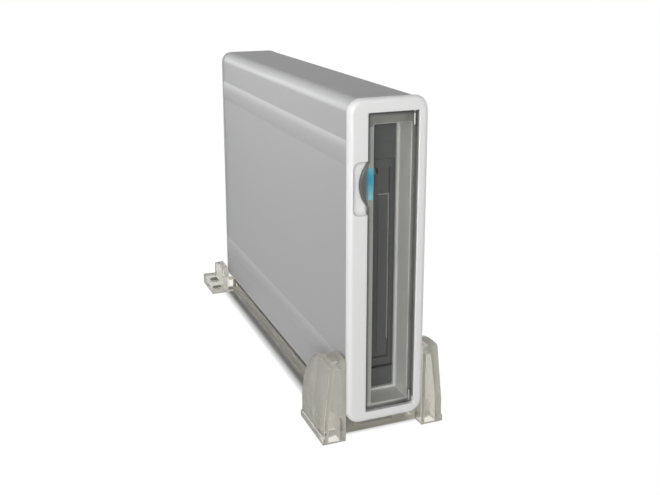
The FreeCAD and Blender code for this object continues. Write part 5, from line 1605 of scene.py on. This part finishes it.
@dataclass(frozen=True)
class Photo:
    """Camera, light and surround that match the photograph.

    The camera's place is X, depth and height in millimetres, its angles are in
    degrees, and the surround is in metres.
    """

    case: Case
    place: Point = (-161.5, -336.0, 207.8)
    azimuth: float = -21.72
    elevation: float = 13.38
    focal_px: float = 886.0
    rise_px: float = 80.0
    width_px: float = 660.0
    sensor_mm: float = 36.0
    clip: Span = (0.01, 20.0)
    lamps: tuple[Lamp, ...] = (
        Lamp("key_light", (-0.5, -0.24, 0.36), 0.3, 0.17, aim=(0.0, 0.0, 0.2), spread=50.0),
        Lamp("front_light", (-0.6, -1.27, 0.32), 0.7, 12.0),
        Lamp("rim_light", (-0.62, 1.25, 0.29), 0.45, 3.0),
        Lamp("fill_light", (0.95, 0.1, 0.18), 0.5, 2.6),
    )
    sky_strength: float = 0.4
    zenith: Colour = (0.06, 0.06, 0.06)
    floor_half: float = 3.0
    floor_grey: Colour = (0.4, 0.4, 0.4)
    floor_glow: float = 1.08
    glow_share: float = 0.93
    shadow_half: Span = (0.018, 0.101)
    shadow_fade: float = 0.005

    def camera(self) -> None:
        """Set the camera by the fitted view."""
        data = bpy.data.cameras.new("camera")
        data.sensor_width = self.sensor_mm
        data.sensor_fit = "HORIZONTAL"
        data.lens = self.focal_px / self.width_px * self.sensor_mm
        data.shift_y = -self.rise_px / self.width_px
        data.clip_start, data.clip_end = self.clip
        item = bpy.data.objects.new("camera", data)
        bpy.context.scene.collection.objects.link(item)
        azimuth, elevation = math.radians(self.azimuth), math.radians(self.elevation)
        back = Vector((math.sin(azimuth) * math.cos(elevation),
                       -math.cos(azimuth) * math.cos(elevation), math.sin(elevation)))
        across, depth, height = self.place
        item.location = Vector((across, self.case.y(depth), self.case.z(height))) * MM
        item.rotation_euler = back.to_track_quat("Z", "Y").to_euler()
        bpy.context.scene.camera = item

    def light(self) -> None:
        """Light from the front left, a rim light from the back left and a fill from the right."""
        for lamp in self.lamps:
            lamp.hang()

    def surround(self) -> None:
        """White backdrop where it is seen, and a sky that darkens upwards where it only lights."""
        world = bpy.data.worlds.new("surround")
        bpy.context.scene.world = world
        shader = Shader(world)
        path = shader.add("ShaderNodeLightPath")
        bounced = shader.wire(path, "Is Glossy Ray").most(shader.wire(path, "Is Transmission Ray"))
        shown = shader.wire(path, "Is Camera Ray").most(bounced)
        heading = shader.wire(shader.add("ShaderNodeTexCoord"), "Generated")
        rise = shader.wire(shader.add("ShaderNodeSeparateXYZ", {0: heading}), 2)
        sky = shader.add("ShaderNodeBackground", {
            "Color": shader.blend(rise, WHITE, self.zenith), "Strength": self.sky_strength})
        plain = shader.add("ShaderNodeBackground", {"Color": (*WHITE, 1.0)})
        shader.close(shader.mix(shown, sky, plain), "ShaderNodeOutputWorld")

    def floor(self) -> None:
        """White floor that shows plain white beyond the object and keeps the shadow under it."""
        half = self.floor_half
        mesh = bpy.data.meshes.new("floor")
        corners = [(-half, -half, 0.0), (half, -half, 0.0), (half, half, 0.0), (-half, half, 0.0)]
        mesh.from_pydata(corners, [], [(0, 1, 2, 3)])
        item = bpy.data.objects.new("floor", mesh)
        bpy.context.scene.collection.objects.link(item)
        shader = Shader(bpy.data.materials.new("floor_white"))
        path = shader.add("ShaderNodeLightPath")
        matt = shader.add("ShaderNodeBsdfDiffuse", {"Color": (*self.floor_grey, 1.0)})
        glow = shader.add("ShaderNodeEmission", {
            "Color": (*WHITE, 1.0), "Strength": self.floor_glow})
        seen = shader.wire(path, "Is Camera Ray") + shader.wire(path, "Is Glossy Ray")
        seen = seen + shader.wire(path, "Is Transmission Ray")
        across, along, _ = shader.axes()
        aside = (across.size() - self.shadow_half[0]).most(0.0)
        beyond = (along.size() - self.shadow_half[1]).most(0.0)
        clear = ((aside * aside + beyond * beyond).root() / self.shadow_fade).share()
        mesh.materials.append(shader.close(shader.mix(seen * clear * self.glow_share, matt, glow)))
        item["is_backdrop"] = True


def dress(studio: Studio, case: Case) -> None:
    """Build every piece and tie it to its body.

    Args:
        studio: keeper of the frame and the finishes.
        case: the case that carries the pieces.
    """
    face, rear = DriveFace(case), Rear(case)
    studio.paint_nodes()
    studio.keep(Sleeve(case).build(), "unit", Slot.SLEEVE, "outer_sleeve")
    studio.keep(Bezel(case).build(), "unit", Slot.BEZEL, "front_bezel")
    studio.keep(Door(case).build(), "door", Slot.DOOR, "front_door")
    studio.keep(face.bezel(), "unit", Slot.DRIVE, "drive_bezel")
    studio.keep(face.flap(), "flap", Slot.DRIVE, "slot_flap")
    studio.keep(face.button(), "button", Slot.BUTTON, "eject_button")
    studio.keep(rear.panel(), "unit", Slot.REAR, "rear_panel")
    studio.keep(rear.screws(), "unit", Slot.STEEL, "rear_screws")
    studio.keep(Stand(case).build(), "stand", Slot.STAND, "stand")


def main() -> None:
    """Dress the frame, then set the camera, the light and the surround."""
    logging.basicConfig(level=logging.INFO, format="%(name)s: %(message)s")
    case = Case()
    studio = Studio()
    dress(studio, case)
    photo = Photo(case)
    photo.camera()
    photo.light()
    photo.surround()
    photo.floor()
    bpy.context.scene.view_settings.view_transform = "Standard"
    studio.write_sizes()


if __name__ == "__main__":
    main()
